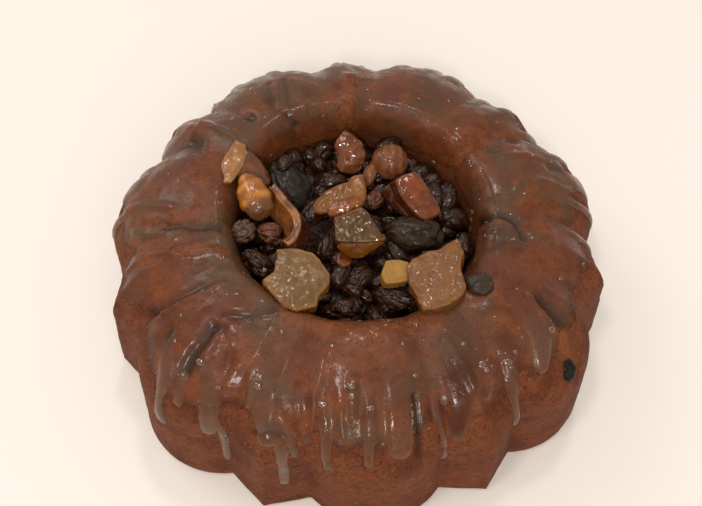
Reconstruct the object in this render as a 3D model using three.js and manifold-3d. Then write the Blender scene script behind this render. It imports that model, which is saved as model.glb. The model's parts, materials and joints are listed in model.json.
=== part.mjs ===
// A rum bundt cake, whole and uncut: a fluted ring of dark cake with its centre hole packed with fruit.
//
// Millimetres, +Z up. The origin is the centre of the flat base, and -Y is the front. Seven wide lobes and
// seven narrow ribs take turns round the ring. The fruit is a heap of raisins that fills the hole, with
// larger raisins, prunes and pieces of candied peel and fruit lying on it, each a solid of its own.

import * as THREE from 'three';
import { mergeVertices } from 'three/addons/utils/BufferGeometryUtils.js';
import Module from 'manifold-3d';

const wasm = await Module();
wasm.setup();

// ---------------------------------------------------------------------------------------------------------
// Driving dimensions
// ---------------------------------------------------------------------------------------------------------

const DEGREE = Math.PI / 180;
const CLEARANCE = 0.3; // between pieces that touch

const CAKE = {
  baseRadius: 95,
  baseRounding: 2.4,
  shoulderRadius: 92.7, // where the upright wall starts to roll over
  shoulderHeight: 32,
  height: 61,
  crownFullness: 1.95, // 2 is an ellipse, more is squarer
  crestRadius: 50.5,
  holeRadius: 43.5, // of the hole at the foot of its rounded mouth
  mouthDepth: 12.5,
  holeBaseRadius: 28,
  holeShift: [-1, 3.4], // the hole lies a little off the middle
};

const FLUTES = {
  count: 7,
  firstLobe: -83.8 * DEGREE, // the wide lobe at the front
  depth: 8.1,
  ribShare: 0.386, // of each repeat, taken by the narrow rib
  lobeRoundness: 2.15,
  ribRoundness: 0.85,
  ribTipCut: 0.11, // a rib stands this share of the depth lower than a lobe
  crestShare: 0.135, // of the depth that is left at the crest
  mouthShare: 0.04, // of the depth that is left in the hole
};

// How an uneven bake departs from a true ring: shares of the radius, by the number of waves round it, and
// of the height.
const UNEVEN_RADIUS = [
  { waves: 2, cosine: 0.013, sine: 0.008 },
  { waves: 3, cosine: 0.001, sine: -0.007 },
  { waves: 4, cosine: -0.005, sine: -0.002 },
];
const UNEVEN_HEIGHT = { cosine: -0.031, sine: 0.018 };

const CAKE_STEPS = { lobe: 5, rib: 3, wall: 4, crown: 12, mouth: 5, hole: 3 };

const HEAP = {
  base: 0.4,
  rimHeight: 43, // of the packed fruit at the wall of the hole
  domeHeight: 47, // and in the middle
  domeSteps: 4,
  roundSteps: 36,
  raisins: 26,
  raisinSize: [9.5, 6.8, 6],
  raisinSink: 0.6, // how far a raisin's centre lies below the surface of the heap
  raisinLift: 1, // and how much higher the draw may set it
  raisinMargin: 6, // from the wall of the hole to the centre of the outermost raisin
  raisinLean: 15, // degrees, at most
  raisinScale: [0.85, 1.15],
};
const GOLDEN_ANGLE = 137.5 * DEGREE;

// ---------------------------------------------------------------------------------------------------------
// Solids: joins, cuts and clearances
// ---------------------------------------------------------------------------------------------------------

const WELD_DISTANCE = 1e-4;

function welded(geometry) {
  const bare = geometry.clone();
  bare.deleteAttribute('normal');
  bare.deleteAttribute('uv');
  return mergeVertices(bare, WELD_DISTANCE);
}

function solidOf(geometry) {
  const mesh = welded(geometry);
  return new wasm.Manifold(
    new wasm.Mesh({
      numProp: 3,
      vertProperties: Float32Array.from(mesh.attributes.position.array),
      triVerts: Uint32Array.from(mesh.index.array),
    }),
  );
}

function geometryOf(solid) {
  const mesh = solid.getMesh();
  const geometry = new THREE.BufferGeometry();
  geometry.setAttribute('position', new THREE.BufferAttribute(Float32Array.from(mesh.vertProperties), 3));
  geometry.setIndex(new THREE.BufferAttribute(Uint32Array.from(mesh.triVerts), 1));
  return geometry;
}

// The largest body of a solid, without the scraps that a cut can leave.
function largestBody(solid) {
  return solid.decompose().reduce((best, body) => (body.volume() > best.volume() ? body : best));
}

const SHARPEST = 0.45; // the least cosine between a corner's normal and a face that meets there

// The same closed geometry with every face moved out by a distance.
function swollen(geometry, distance) {
  const mesh = welded(geometry);
  mesh.computeVertexNormals();
  const { position, normal } = mesh.attributes;
  const corners = mesh.index.array;
  const alignment = new Float32Array(position.count).fill(1);
  const triangle = new THREE.Triangle();
  const face = new THREE.Vector3();
  const vertexNormal = new THREE.Vector3();
  for (let i = 0; i < corners.length; i += 3) {
    triangle.setFromAttributeAndIndices(position, corners[i], corners[i + 1], corners[i + 2]);
    triangle.getNormal(face);
    for (const corner of corners.subarray(i, i + 3)) {
      vertexNormal.fromBufferAttribute(normal, corner);
      alignment[corner] = Math.min(alignment[corner], Math.max(SHARPEST, vertexNormal.dot(face)));
    }
  }
  const point = new THREE.Vector3();
  for (let i = 0; i < position.count; i++) {
    vertexNormal.fromBufferAttribute(normal, i);
    point.fromBufferAttribute(position, i).addScaledVector(vertexNormal, distance / alignment[i]);
    position.setXYZ(i, point.x, point.y, point.z);
  }
  return mesh;
}

// ---------------------------------------------------------------------------------------------------------
// Repeatable unevenness
// ---------------------------------------------------------------------------------------------------------

function seededRandom(seed) {
  let state = seed * 2654435761;
  return () => {
    state = (state + 0x6d2b79f5) | 0;
    let mixed = Math.imul(state ^ (state >>> 15), 1 | state);
    mixed = (mixed + Math.imul(mixed ^ (mixed >>> 7), 61 | mixed)) ^ mixed;
    return ((mixed ^ (mixed >>> 14)) >>> 0) / 4294967296;
  };
}

// A smooth field of bumps between about -1 and 1, for points a few units apart.
function bumpField(seed, waves = 5) {
  const random = seededRandom(seed);
  const terms = Array.from({ length: waves }, () => ({
    direction: new THREE.Vector3(random() - 0.5, random() - 0.5, random() - 0.5).normalize(),
    phase: random() * 2 * Math.PI,
    pitch: 0.7 + random() * 0.8,
  }));
  const wave = (point, { direction, phase, pitch }) => Math.sin(point.dot(direction) * pitch + phase);
  return (point, frequency) => {
    const scaled = point.clone().multiplyScalar(frequency);
    return terms.reduce((sum, term) => sum + wave(scaled, term), 0) / Math.sqrt(2 * waves);
  };
}

// Moves every vertex, so that shared corners stay together.
function reshape(geometry, move) {
  const position = geometry.attributes.position;
  const point = new THREE.Vector3();
  for (let i = 0; i < position.count; i++) {
    point.fromBufferAttribute(position, i);
    move(point, i);
    position.setXYZ(i, point.x, point.y, point.z);
  }
  return geometry;
}

// ---------------------------------------------------------------------------------------------------------
// The cake
// ---------------------------------------------------------------------------------------------------------

// The cut of the flutes round the ring: 0 along the middle of a lobe, 1 in a valley, a little on a rib's tip.
function fluteCut(angle) {
  const period = (2 * Math.PI) / FLUTES.count;
  const half = period / 2;
  const offset = Math.abs(THREE.MathUtils.euclideanModulo(angle - FLUTES.firstLobe + half, period) - half);
  const lobeHalf = half * (1 - FLUTES.ribShare);
  if (offset < lobeHalf) return (offset / lobeHalf) ** FLUTES.lobeRoundness;
  const fromTip = (half - offset) / (half - lobeHalf);
  return FLUTES.ribTipCut + (1 - FLUTES.ribTipCut) * fromTip ** FLUTES.ribRoundness;
}

// Angles round the ring with a step on every valley, lobe line and rib tip.
function ringAngles() {
  const period = (2 * Math.PI) / FLUTES.count;
  const lobeHalf = (period / 2) * (1 - FLUTES.ribShare);
  const stations = [
    { start: 0, span: lobeHalf, steps: CAKE_STEPS.lobe },
    { start: lobeHalf, span: period - 2 * lobeHalf, steps: 2 * CAKE_STEPS.rib },
    { start: period - lobeHalf, span: lobeHalf, steps: CAKE_STEPS.lobe },
  ];
  const angles = [];
  for (let flute = 0; flute < FLUTES.count; flute++) {
    const first = FLUTES.firstLobe + flute * period;
    for (const { start, span, steps } of stations) {
      for (let i = 0; i < steps; i++) angles.push(first + start + (span * i) / steps);
    }
  }
  return [...angles, FLUTES.firstLobe + 2 * Math.PI];
}

// The section of the ring, from the foot of the hole round by the base, the wall and the crest. Each point
// holds the direction and the share of the depth by which a flute cuts into it.
function cakeSection() {
  const { baseRadius, baseRounding, shoulderRadius, shoulderHeight, height, crestRadius } = CAKE;
  const { holeRadius, mouthDepth, holeBaseRadius, crownFullness } = CAKE;
  const section = [];
  const add = (r, z, normalAngle, share) => {
    const shift = THREE.MathUtils.clamp((shoulderRadius - r) / (shoulderRadius - crestRadius), 0, 1);
    section.push({ r, z, shift, cutR: Math.cos(normalAngle) * share, cutZ: Math.sin(normalAngle) * share });
  };

  add(holeBaseRadius, 0, 0, 0);
  for (const turn of [0, 45, 90]) {
    const r = baseRadius - baseRounding * (1 - Math.sin(turn * DEGREE));
    add(r, baseRounding * (1 - Math.cos(turn * DEGREE)), 0, 1);
  }
  for (let i = 1; i < CAKE_STEPS.wall; i++) {
    const rise = i / CAKE_STEPS.wall;
    const r = THREE.MathUtils.lerp(baseRadius, shoulderRadius, rise);
    add(r, THREE.MathUtils.lerp(baseRounding, shoulderHeight, rise), 0, 1);
  }
  for (let i = 0; i <= CAKE_STEPS.crown; i++) {
    const turn = (i / CAKE_STEPS.crown) * 90 * DEGREE;
    const width = shoulderRadius - crestRadius;
    const rise = height - shoulderHeight;
    const across = Math.max(Math.cos(turn), 0) ** (2 / crownFullness);
    const up = Math.sin(turn) ** (2 / crownFullness);
    const normalAngle = Math.atan2(up ** (crownFullness - 1) / rise, across ** (crownFullness - 1) / width);
    const share = THREE.MathUtils.lerp(1, FLUTES.crestShare, normalAngle / (90 * DEGREE));
    add(crestRadius + width * across, shoulderHeight + rise * up, normalAngle, share);
  }
  for (let i = 1; i <= CAKE_STEPS.mouth; i++) {
    const turn = (90 + (i / CAKE_STEPS.mouth) * 90) * DEGREE;
    const share = THREE.MathUtils.lerp(FLUTES.crestShare, FLUTES.mouthShare, i / CAKE_STEPS.mouth);
    const r = crestRadius + (crestRadius - holeRadius) * Math.cos(turn);
    add(r, height - mouthDepth + mouthDepth * Math.sin(turn), turn, share);
  }
  for (let i = 1; i < CAKE_STEPS.hole; i++) {
    const drop = i / CAKE_STEPS.hole;
    const r = THREE.MathUtils.lerp(holeRadius, holeBaseRadius, drop);
    add(r, (height - mouthDepth) * (1 - drop), Math.PI, 0);
  }
  return [...section, section[0]];
}

// The uneven bake at an angle: what the radius and the height are multiplied by.
function unevenness(angle) {
  const radius = UNEVEN_RADIUS.reduce(
    (sum, { waves, cosine, sine }) => sum + cosine * Math.cos(waves * angle) + sine * Math.sin(waves * angle),
    1,
  );
  const height = 1 + UNEVEN_HEIGHT.cosine * Math.cos(angle) + UNEVEN_HEIGHT.sine * Math.sin(angle);
  return { radius, height };
}

function cakeGeometry() {
  const section = cakeSection();
  const angles = ringAngles();
  const outline = section.map(({ r, z }) => new THREE.Vector2(r, z));
  const ring = new THREE.LatheGeometry(outline, angles.length - 1);
  return reshape(ring, (point, i) => {
    const angle = angles[Math.floor(i / section.length)];
    const { r, z, shift, cutR, cutZ } = section[i % section.length];
    const [shiftX, shiftY] = CAKE.holeShift;
    const depth = FLUTES.depth * fluteCut(angle);
    const uneven = unevenness(angle);
    const radius = (r - cutR * depth) * uneven.radius;
    const x = radius * Math.cos(angle) + shift * shiftX;
    const y = radius * Math.sin(angle) + shift * shiftY;
    point.set(x, y, (z - cutZ * depth) * uneven.height);
  });
}

// ---------------------------------------------------------------------------------------------------------
// Kinds of fruit, each round its own origin
// ---------------------------------------------------------------------------------------------------------

const LARGE_RAISIN = 11; // from this length on a raisin has the finer mesh
const EGG_TAPER = 0.16; // how much wider a raisin is at its blunt end

// A raisin, sultana or prune: an egg with folds across it.
function raisin([length, width, height], seed, { folds }) {
  const bumps = bumpField(seed);
  const foldPitch = 4.5;
  const detail = length < LARGE_RAISIN ? 1 : 2;
  return reshape(new THREE.IcosahedronGeometry(1, detail), (point) => {
    const taper = 1 + EGG_TAPER * point.x;
    const fold = 1 + folds * bumps(point, foldPitch);
    point.set(point.x * length, point.y * width * taper, point.z * height).multiplyScalar(fold / 2);
  });
}

const BLOCK_DENTS = { share: 0.08, pitch: 1.7 };
const BLOCK_SKEW = { share: 0.1, pitch: 0.6 };

// A candied cube or block, its edges a little soft and no two faces square.
function block([length, width, height], seed, { softness }) {
  const bumps = bumpField(seed);
  const ballRadius = 1.35; // of the ball that the soft corners draw in towards
  const box = new THREE.BoxGeometry(2, 2, 2, 3, 3, 3);
  return reshape(box, (point) => {
    const ball = point.clone().normalize().multiplyScalar(ballRadius);
    point.lerp(ball, softness);
    const uneven = 1 + BLOCK_DENTS.share * bumps(point, BLOCK_DENTS.pitch);
    const skew = BLOCK_SKEW.share * point.z * bumps(point, BLOCK_SKEW.pitch);
    point.set((point.x + skew) * length * uneven, point.y * width * uneven, point.z * height).divideScalar(2);
  });
}

// A slab with a free outline and bevelled edges, lying flat.
function slab(outline, seed, { thickness }) {
  const bevel = 1.4;
  const wave = { height: 0.6, pitch: 0.35 };
  const shape = new THREE.Shape(outline.map(([x, y]) => new THREE.Vector2(x, y)));
  const geometry = new THREE.ExtrudeGeometry(shape, {
    depth: thickness - 2 * bevel,
    bevelThickness: bevel,
    bevelSize: bevel,
    bevelOffset: -bevel,
    bevelSegments: 2,
    curveSegments: 3,
  });
  const bumps = bumpField(seed);
  return reshape(geometry, (point) => {
    point.z += wave.height * bumps(point, wave.pitch) - thickness / 2 + bevel;
  });
}

const PEEL_STEPS = { round: 10, across: 3 };
const PEEL_TIP_CUT = 0.35; // how much narrower a strip is at its two ends
const PEEL_WAVE = { height: 0.5, pitch: 0.8, perRadian: 3 };

// A strip of peel bent round the Z axis. The flare leans its wall out towards the foot.
function bentPeel({ radius, arc, width, thickness, flare = 0 }, seed) {
  const bumps = bumpField(seed);
  const halfArc = (arc / 2) * DEGREE;
  const strip = new THREE.BoxGeometry(2 * halfArc, thickness, width, PEEL_STEPS.round, 1, PEEL_STEPS.across);
  return reshape(strip, (point) => {
    const fromMiddle = Math.abs(point.x / halfArc);
    const z = point.z * (1 - PEEL_TIP_CUT * fromMiddle ** 3);
    const onSheet = new THREE.Vector3(point.x * PEEL_WAVE.perRadian, z, 0);
    const wave = PEEL_WAVE.height * bumps(onSheet, PEEL_WAVE.pitch);
    const r = radius - point.y - flare * (z / width) + wave;
    point.set(r * Math.cos(point.x), r * Math.sin(point.x), z);
  });
}

// ---------------------------------------------------------------------------------------------------------
// The pieces of fruit that show, from the top of the pile down
// ---------------------------------------------------------------------------------------------------------

// A place is [x, y, z]. A turn is [towards the front, to the right, about Z], in degrees. A size is
// [length, width, height].
const CITRON_OUTLINE = [
  [-12, -1], [-7, 3.2], [-6.5, 9], [-1, 10.2], [7, 8.6],
  [11, 2.5], [10.5, -4], [7.5, -8.5], [0, -9], [-8, -5],
];
const MELON_OUTLINE = [
  [-10, 3.5], [-3.5, 7], [1.5, 8], [6.5, 13], [8.8, 9.5],
  [9.5, 3], [9.3, -4], [6, -9.5], [-3.5, -9.6], [-8.8, -4],
];
const FLAKE_BEND = { radius: 8, arc: 118, width: 16, thickness: 4.2 };
const CURL_BEND = { radius: 11, arc: 140, width: 7.5, thickness: 2.2, flare: 3 };

const piece = (name, kind, size, place, turn) => ({ name, kind, size, place, turn });

const FRUIT = [
  piece('peel_flake_left', 'peel', FLAKE_BEND, [-44.7, 20.6, 55.8], [75, 0, 60]),
  piece('citron_chunk', 'citron', CITRON_OUTLINE, [-20.5, -28, 59], [10, 6, 0]),
  piece('melon_chunk', 'melon', MELON_OUTLINE, [27, -26.5, 60], [8, -8, 0]),
  piece('peel_flake_middle', 'amber', [17, 11, 5.5], [-8, 8, 59], [15, -20, 25]),
  piece('citron_cube', 'cube', [15.5, 13, 10], [0, -6.3, 57], [22, 0, 8]),
  piece('pineapple_cube', 'pineapple', [9, 8, 6.4], [12.6, -23.5, 58.5], [12, 6, -3]),
  piece('candied_orange', 'orange', [18.5, 13, 10], [-38, 6, 60.5], [16, 10, -58]),
  piece('cherry_block', 'cherry', [18, 11, 9.5], [19.5, 9, 56], [28, 8, -38]),
  piece('sultana_rear', 'sultana', [13.6, 13.8, 11.6], [10.5, 28, 55], [25, 0, 10]),
  piece('cherry_piece_rear', 'cherry', [16, 10, 5.5], [-5, 31, 56], [55, -12, 75]),
  piece('peel_curl', 'curl', CURL_BEND, [-33, -1.5, 57], [0, 0, 20]),
  piece('prune_left', 'prune', [20, 14, 11], [-26.5, 18.5, 51.5], [15, 10, -55]),
  piece('raisin_on_prune', 'raisin', [7, 5.4, 4.6], [-28.6, 22.4, 59], [10, 0, 60]),
  piece('prune_right', 'prune', [20.5, 14, 10.5], [19.5, -2.2, 51], [10, 0, -8]),
  piece('raisin_left_outer', 'raisin', [9.2, 8.6, 7.4], [-41.5, -6, 55.5], [12, -10, 20]),
  piece('raisin_in_curl', 'raisin', [8.6, 7.4, 6.8], [-32, -6, 55.5], [10, 0, -20]),
  piece('raisin_left_lower', 'raisin', [13, 8.4, 7.4], [-35.5, -17, 52], [0, 12, -30]),
  piece('raisin_middle_rear', 'raisin', [10.4, 6.6, 6], [-10.6, 20.5, 51], [0, 0, 15]),
  piece('raisin_middle', 'raisin', [8, 6.4, 5.8], [5, 12, 52], [0, 0, 60]),
  piece('sultana_small', 'sultana', [10, 5.4, 5.4], [3, 22.5, 53], [20, 0, 75]),
  piece('raisin_front_left', 'raisin', [9.8, 6.8, 6], [-5, -33, 50.5], [0, 0, -4]),
  piece('raisin_front_right', 'raisin', [15.7, 8.6, 7.4], [13.8, -28, 51], [0, 0, -12]),
  piece('raisin_front_middle', 'raisin', [10, 7.6, 6.6], [0.8, -20, 49.5], [0, 0, 50]),
  piece('raisin_middle_left', 'raisin', [12, 6.6, 6.2], [-11, -7, 50], [0, 0, 80]),
  piece('cherry_bit', 'cherry', [6.6, 5.6, 5], [-4.6, -17.4, 49.5], [0, 10, 30]),
];

// Raisins baked into the cake, each in a pocket of its own size.
const BAKED_IN = [
  piece('baked_raisin_top', 'raisin', [11, 7.6, 7], [41.5, -27, 59.6], [0, 12, 10]),
  piece('baked_raisin_side', 'raisin', [8.6, 6.6, 6], [72.6, -49.3, 42.4], [0, 50, -35]),
];

const CAKE_PIECE = piece('cake', 'crust', null, [0, 0, 0], [0, 0, 0]);
const HEAP_PIECE = piece('fruit_heap', 'raisin', HEAP.raisinSize, [0, 0, 0], [0, 0, 0]);

// Where the seeds of each group start.
const SEEDS = { fruit: 11, baked: 61, heap: 101 };

const KINDS = {
  crust: { colour: 0x6e3b26, roughness: 0.55 },
  raisin: { shape: raisin, folds: 0.09, colour: 0x2a1410, roughness: 0.3 },
  prune: { shape: raisin, folds: 0.07, colour: 0x1d1a1c, roughness: 0.3 },
  sultana: { shape: raisin, folds: 0.05, colour: 0x7a4423, roughness: 0.3 },
  orange: { shape: raisin, folds: 0.06, colour: 0xb98448, roughness: 0.3 },
  cherry: { shape: block, softness: 0.2, colour: 0x8a3418, roughness: 0.3 },
  cube: { shape: block, softness: 0.12, colour: 0xa08455, roughness: 0.3 },
  pineapple: { shape: block, softness: 0.12, colour: 0xd3ad57, roughness: 0.3 },
  amber: { shape: block, softness: 0.35, colour: 0xa65a22, roughness: 0.3 },
  citron: { shape: slab, thickness: 8.5, colour: 0xa08455, roughness: 0.3 },
  melon: { shape: slab, thickness: 8, colour: 0xa08455, roughness: 0.3 },
  peel: { shape: bentPeel, colour: 0xb98448, roughness: 0.3 },
  curl: { shape: bentPeel, colour: 0xa65a22, roughness: 0.3 },
};

function placement(place, turn) {
  const turns = new THREE.Euler(...turn.map((degrees) => degrees * DEGREE), 'XYZ');
  return new THREE.Matrix4().compose(
    new THREE.Vector3(...place),
    new THREE.Quaternion().setFromEuler(turns),
    new THREE.Vector3(1, 1, 1),
  );
}

// ---------------------------------------------------------------------------------------------------------
// The heap that fills the hole
// ---------------------------------------------------------------------------------------------------------

// The plug of packed fruit, a clearance inside the wall of the hole, with a low dome on top.
function heapCore() {
  const { holeRadius, holeBaseRadius, height, mouthDepth } = CAKE;
  const { base, rimHeight, domeHeight, domeSteps, roundSteps } = HEAP;
  const wallFoot = height - mouthDepth;
  const radiusAt = (z) => THREE.MathUtils.lerp(holeBaseRadius, holeRadius, z / wallFoot) - 2 * CLEARANCE;
  const rimRadius = radiusAt(rimHeight);
  const outline = [new THREE.Vector2(0, base), new THREE.Vector2(radiusAt(base), base)];
  for (let i = domeSteps; i >= 0; i--) {
    const out = i / domeSteps;
    outline.push(new THREE.Vector2(rimRadius * out, THREE.MathUtils.lerp(domeHeight, rimHeight, out * out)));
  }
  const core = new THREE.LatheGeometry(outline, roundSteps).rotateX(Math.PI / 2);
  return reshape(core, (point) => {
    const uneven = unevenness(Math.atan2(point.y, point.x));
    const [shiftX, shiftY] = CAKE.holeShift;
    point.set(point.x * uneven.radius + shiftX, point.y * uneven.radius + shiftY, point.z * uneven.height);
  });
}

// Raisins spread evenly over the dome in a sunflower pattern, jostled a little.
function heapRaisins() {
  const random = seededRandom(SEEDS.heap);
  const { domeHeight, rimHeight, raisins, raisinSize, raisinSink, raisinLift, raisinLean } = HEAP;
  const [smallest, largest] = HEAP.raisinScale;
  const outer = CAKE.holeRadius - HEAP.raisinMargin;
  return Array.from({ length: raisins }, (_, i) => {
    const r = outer * Math.sqrt((i + 0.5) / raisins);
    const angle = i * GOLDEN_ANGLE;
    const surface = THREE.MathUtils.lerp(domeHeight, rimHeight, (r / outer) ** 2);
    const z = surface - raisinSink + raisinLift * random();
    const lean = () => raisinLean * (2 * random() - 1);
    const turn = [lean(), lean(), 180 * random()];
    const size = raisinSize.map((side) => side * THREE.MathUtils.lerp(smallest, largest, random()));
    const place = [r * Math.cos(angle), r * Math.sin(angle), z];
    return raisin(size, SEEDS.heap + i, KINDS.raisin).applyMatrix4(placement(place, turn));
  });
}

// ---------------------------------------------------------------------------------------------------------
// Putting it together: each piece is cut clear of the cake and of the pieces laid before it
// ---------------------------------------------------------------------------------------------------------

function meshOf({ name, kind, place, turn }, solid) {
  const matrix = placement(place, turn);
  const geometry = geometryOf(solid).applyMatrix4(matrix.clone().invert());
  geometry.computeVertexNormals();
  const { colour, roughness } = KINDS[kind];
  const material = new THREE.MeshStandardMaterial({ color: colour, roughness, metalness: 0 });
  const mesh = new THREE.Mesh(geometry, material);
  mesh.name = name;
  mesh.applyMatrix4(matrix);
  return mesh;
}

// A piece of fruit where it lies.
function laid({ kind, size, place, turn }, seed) {
  return KINDS[kind].shape(size, seed, KINDS[kind]).applyMatrix4(placement(place, turn));
}

function build() {
  const cake = new THREE.Group();
  const fruit = new THREE.Group();

  const ring = cakeGeometry();
  let ringSolid = solidOf(ring);
  let taken = solidOf(swollen(ring, CLEARANCE));
  BAKED_IN.forEach((raisinPiece, i) => {
    const geometry = laid(raisinPiece, SEEDS.baked + i);
    const pocket = solidOf(swollen(geometry, CLEARANCE));
    ringSolid = ringSolid.subtract(pocket);
    taken = taken.add(pocket);
    fruit.add(meshOf(raisinPiece, solidOf(geometry)));
  });
  cake.add(meshOf(CAKE_PIECE, largestBody(ringSolid)));

  FRUIT.forEach((fruitPiece, i) => {
    const solid = largestBody(solidOf(laid(fruitPiece, SEEDS.fruit + i)).subtract(taken));
    fruit.add(meshOf(fruitPiece, solid));
    taken = taken.add(solidOf(swollen(geometryOf(solid), CLEARANCE)));
  });

  const heap = heapRaisins().reduce((whole, one) => whole.add(solidOf(one)), solidOf(heapCore()));
  fruit.add(meshOf(HEAP_PIECE, largestBody(heap.subtract(taken))));

  const group = new THREE.Group();
  group.add(cake, fruit);
  return group;
}

export default build();
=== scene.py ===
"""The looks of a whole rum bundt cake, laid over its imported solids.

Metres, +Z up, the base on the floor and -Y towards the viewer. Sizes in the classes are millimetres, as in
the part's source, and become metres where a mesh is written. The cake is a fluted ring with a crumbly crust,
a thin rum glaze that has run down it in drips, and a centre hole packed with dried and candied fruit.
"""

import enum
import json
import logging
import math
from dataclasses import dataclass, field
from typing import Iterable, Sequence

import bpy
import numpy as np
from mathutils import Euler, Matrix, Vector
from mathutils.bvhtree import BVHTree

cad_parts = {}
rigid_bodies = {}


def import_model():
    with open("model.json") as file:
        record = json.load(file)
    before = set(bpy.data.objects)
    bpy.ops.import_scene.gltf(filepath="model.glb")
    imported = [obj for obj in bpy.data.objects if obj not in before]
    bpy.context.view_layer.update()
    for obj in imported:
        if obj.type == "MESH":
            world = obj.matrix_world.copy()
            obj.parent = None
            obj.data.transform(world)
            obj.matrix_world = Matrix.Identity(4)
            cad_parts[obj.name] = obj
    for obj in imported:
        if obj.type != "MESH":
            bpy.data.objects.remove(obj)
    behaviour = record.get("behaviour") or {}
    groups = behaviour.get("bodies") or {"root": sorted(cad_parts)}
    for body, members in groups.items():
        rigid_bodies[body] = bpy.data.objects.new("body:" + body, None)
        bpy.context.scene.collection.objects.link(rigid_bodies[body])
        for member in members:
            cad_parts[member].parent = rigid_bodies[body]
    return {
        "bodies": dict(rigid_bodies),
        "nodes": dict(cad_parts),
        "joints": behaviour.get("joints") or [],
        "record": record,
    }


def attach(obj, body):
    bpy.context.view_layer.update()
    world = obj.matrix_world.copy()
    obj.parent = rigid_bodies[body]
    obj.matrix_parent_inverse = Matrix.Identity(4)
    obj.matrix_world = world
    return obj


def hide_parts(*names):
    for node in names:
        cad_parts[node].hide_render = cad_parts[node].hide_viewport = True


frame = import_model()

LOG = logging.getLogger("rum_bundt_cake")
MM = 0.001
TURN = 2 * math.pi
QUARTER = math.pi / 2

Pixel = tuple[float, float]
Triple = tuple[float, float, float]


# --- Bench tools: mesh, modifier and noise helpers ---


class Bench:
    """Everyday steps of the modelling bench."""

    @staticmethod
    def clear_selection() -> None:
        """Leaves object mode with nothing selected."""
        if bpy.context.object is not None and bpy.context.object.mode != "OBJECT":
            bpy.ops.object.mode_set(mode="OBJECT")
        bpy.ops.object.select_all(action="DESELECT")

    @staticmethod
    def only(piece: bpy.types.Object) -> None:
        """Selects one piece and makes it active."""
        Bench.clear_selection()
        piece.select_set(True)
        bpy.context.view_layer.objects.active = piece

    @staticmethod
    def started(name: str) -> bpy.types.Object:
        """Names the primitive that was just added.

        Args:
            name: The piece's name.

        Returns:
            The object.
        """
        piece = bpy.context.object
        piece.name = name
        piece.data.name = name
        return piece

    @staticmethod
    def points(piece: bpy.types.Object) -> np.ndarray:
        """Reads a piece's vertices as an array of rows of three."""
        flat = np.empty(len(piece.data.vertices) * 3)
        piece.data.vertices.foreach_get("co", flat)
        return flat.reshape(-1, 3)

    @staticmethod
    def move_points(piece: bpy.types.Object, points: np.ndarray) -> None:
        """Writes a piece's vertices back."""
        piece.data.vertices.foreach_set("co", points.reshape(-1))
        piece.data.update()

    @staticmethod
    def normals(piece: bpy.types.Object) -> np.ndarray:
        """Reads a piece's vertex normals as an array of rows of three."""
        flat = np.empty(len(piece.data.vertices) * 3)
        piece.data.vertex_normals.foreach_get("vector", flat)
        return flat.reshape(-1, 3)

    @staticmethod
    def paint(piece: bpy.types.Object, name: str, values: np.ndarray) -> None:
        """Stores one number a vertex under a name that a finish can read.

        Args:
            piece: The mesh to paint.
            name: The attribute's name.
            values: One number a vertex.
        """
        layer = piece.data.attributes.new(name, "FLOAT", "POINT")
        layer.data.foreach_set("value", values.astype(np.float32).reshape(-1))

    @staticmethod
    def modify(piece: bpy.types.Object, kind: str, **settings: object) -> None:
        """Adds a modifier and applies it.

        Args:
            piece: The mesh to finish.
            kind: Blender's name of the modifier's kind.
            settings: Its properties.
        """
        Bench.only(piece)
        modifier = piece.modifiers.new(kind.title(), kind)
        for key, value in settings.items():
            setattr(modifier, key, value)
        bpy.ops.object.modifier_apply(modifier=modifier.name)

    @staticmethod
    def tidy(piece: bpy.types.Object, merge: float = 1e-6) -> None:
        """Merges doubles and turns every face outwards."""
        Bench.only(piece)
        bpy.ops.object.mode_set(mode="EDIT")
        bpy.ops.mesh.select_all(action="SELECT")
        bpy.ops.mesh.remove_doubles(threshold=merge)
        bpy.ops.mesh.normals_make_consistent(inside=False)
        bpy.ops.mesh.select_all(action="DESELECT")
        bpy.ops.object.mode_set(mode="OBJECT")

    @staticmethod
    def smooth(piece: bpy.types.Object) -> None:
        """Shades a piece smooth all over."""
        Bench.only(piece)
        bpy.ops.object.shade_smooth()

    @staticmethod
    def joined(pieces: Sequence[bpy.types.Object], name: str) -> bpy.types.Object:
        """Joins pieces into one.

        Args:
            pieces: What to join.
            name: The name of the result.

        Returns:
            The joined object.
        """
        Bench.clear_selection()
        for piece in pieces:
            piece.select_set(True)
        bpy.context.view_layer.objects.active = pieces[0]
        bpy.ops.object.join()
        return Bench.started(name)

    @staticmethod
    def sheet(name: str, across: int, down: int) -> bpy.types.Object:
        """Adds a flat square grid that is later bent into shape.

        Args:
            name: The piece's name.
            across: Steps along X.
            down: Steps along Y.

        Returns:
            The grid, one unit wide, with its corner at the origin.
        """
        Bench.clear_selection()
        bpy.ops.mesh.primitive_grid_add(
            x_subdivisions=across, y_subdivisions=down, size=1, location=(0.5, 0.5, 0)
        )
        bpy.ops.object.transform_apply(location=True, rotation=True, scale=True)
        return Bench.started(name)

    @staticmethod
    def copied(master: bpy.types.Object) -> bpy.types.Object:
        """Adds a copy of a piece, with a mesh of its own."""
        copy = master.copy()
        copy.data = master.data.copy()
        bpy.context.scene.collection.objects.link(copy)
        return copy

    @staticmethod
    def report(piece: bpy.types.Object) -> None:
        """Logs a finished piece's name and how many faces it has."""
        LOG.info("%s: %d faces", piece.name, len(piece.data.polygons))

    @staticmethod
    def dress(piece: bpy.types.Object, finish: bpy.types.Material) -> None:
        """Gives a piece one material in place of any other."""
        piece.data.materials.clear()
        piece.data.materials.append(finish)


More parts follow.
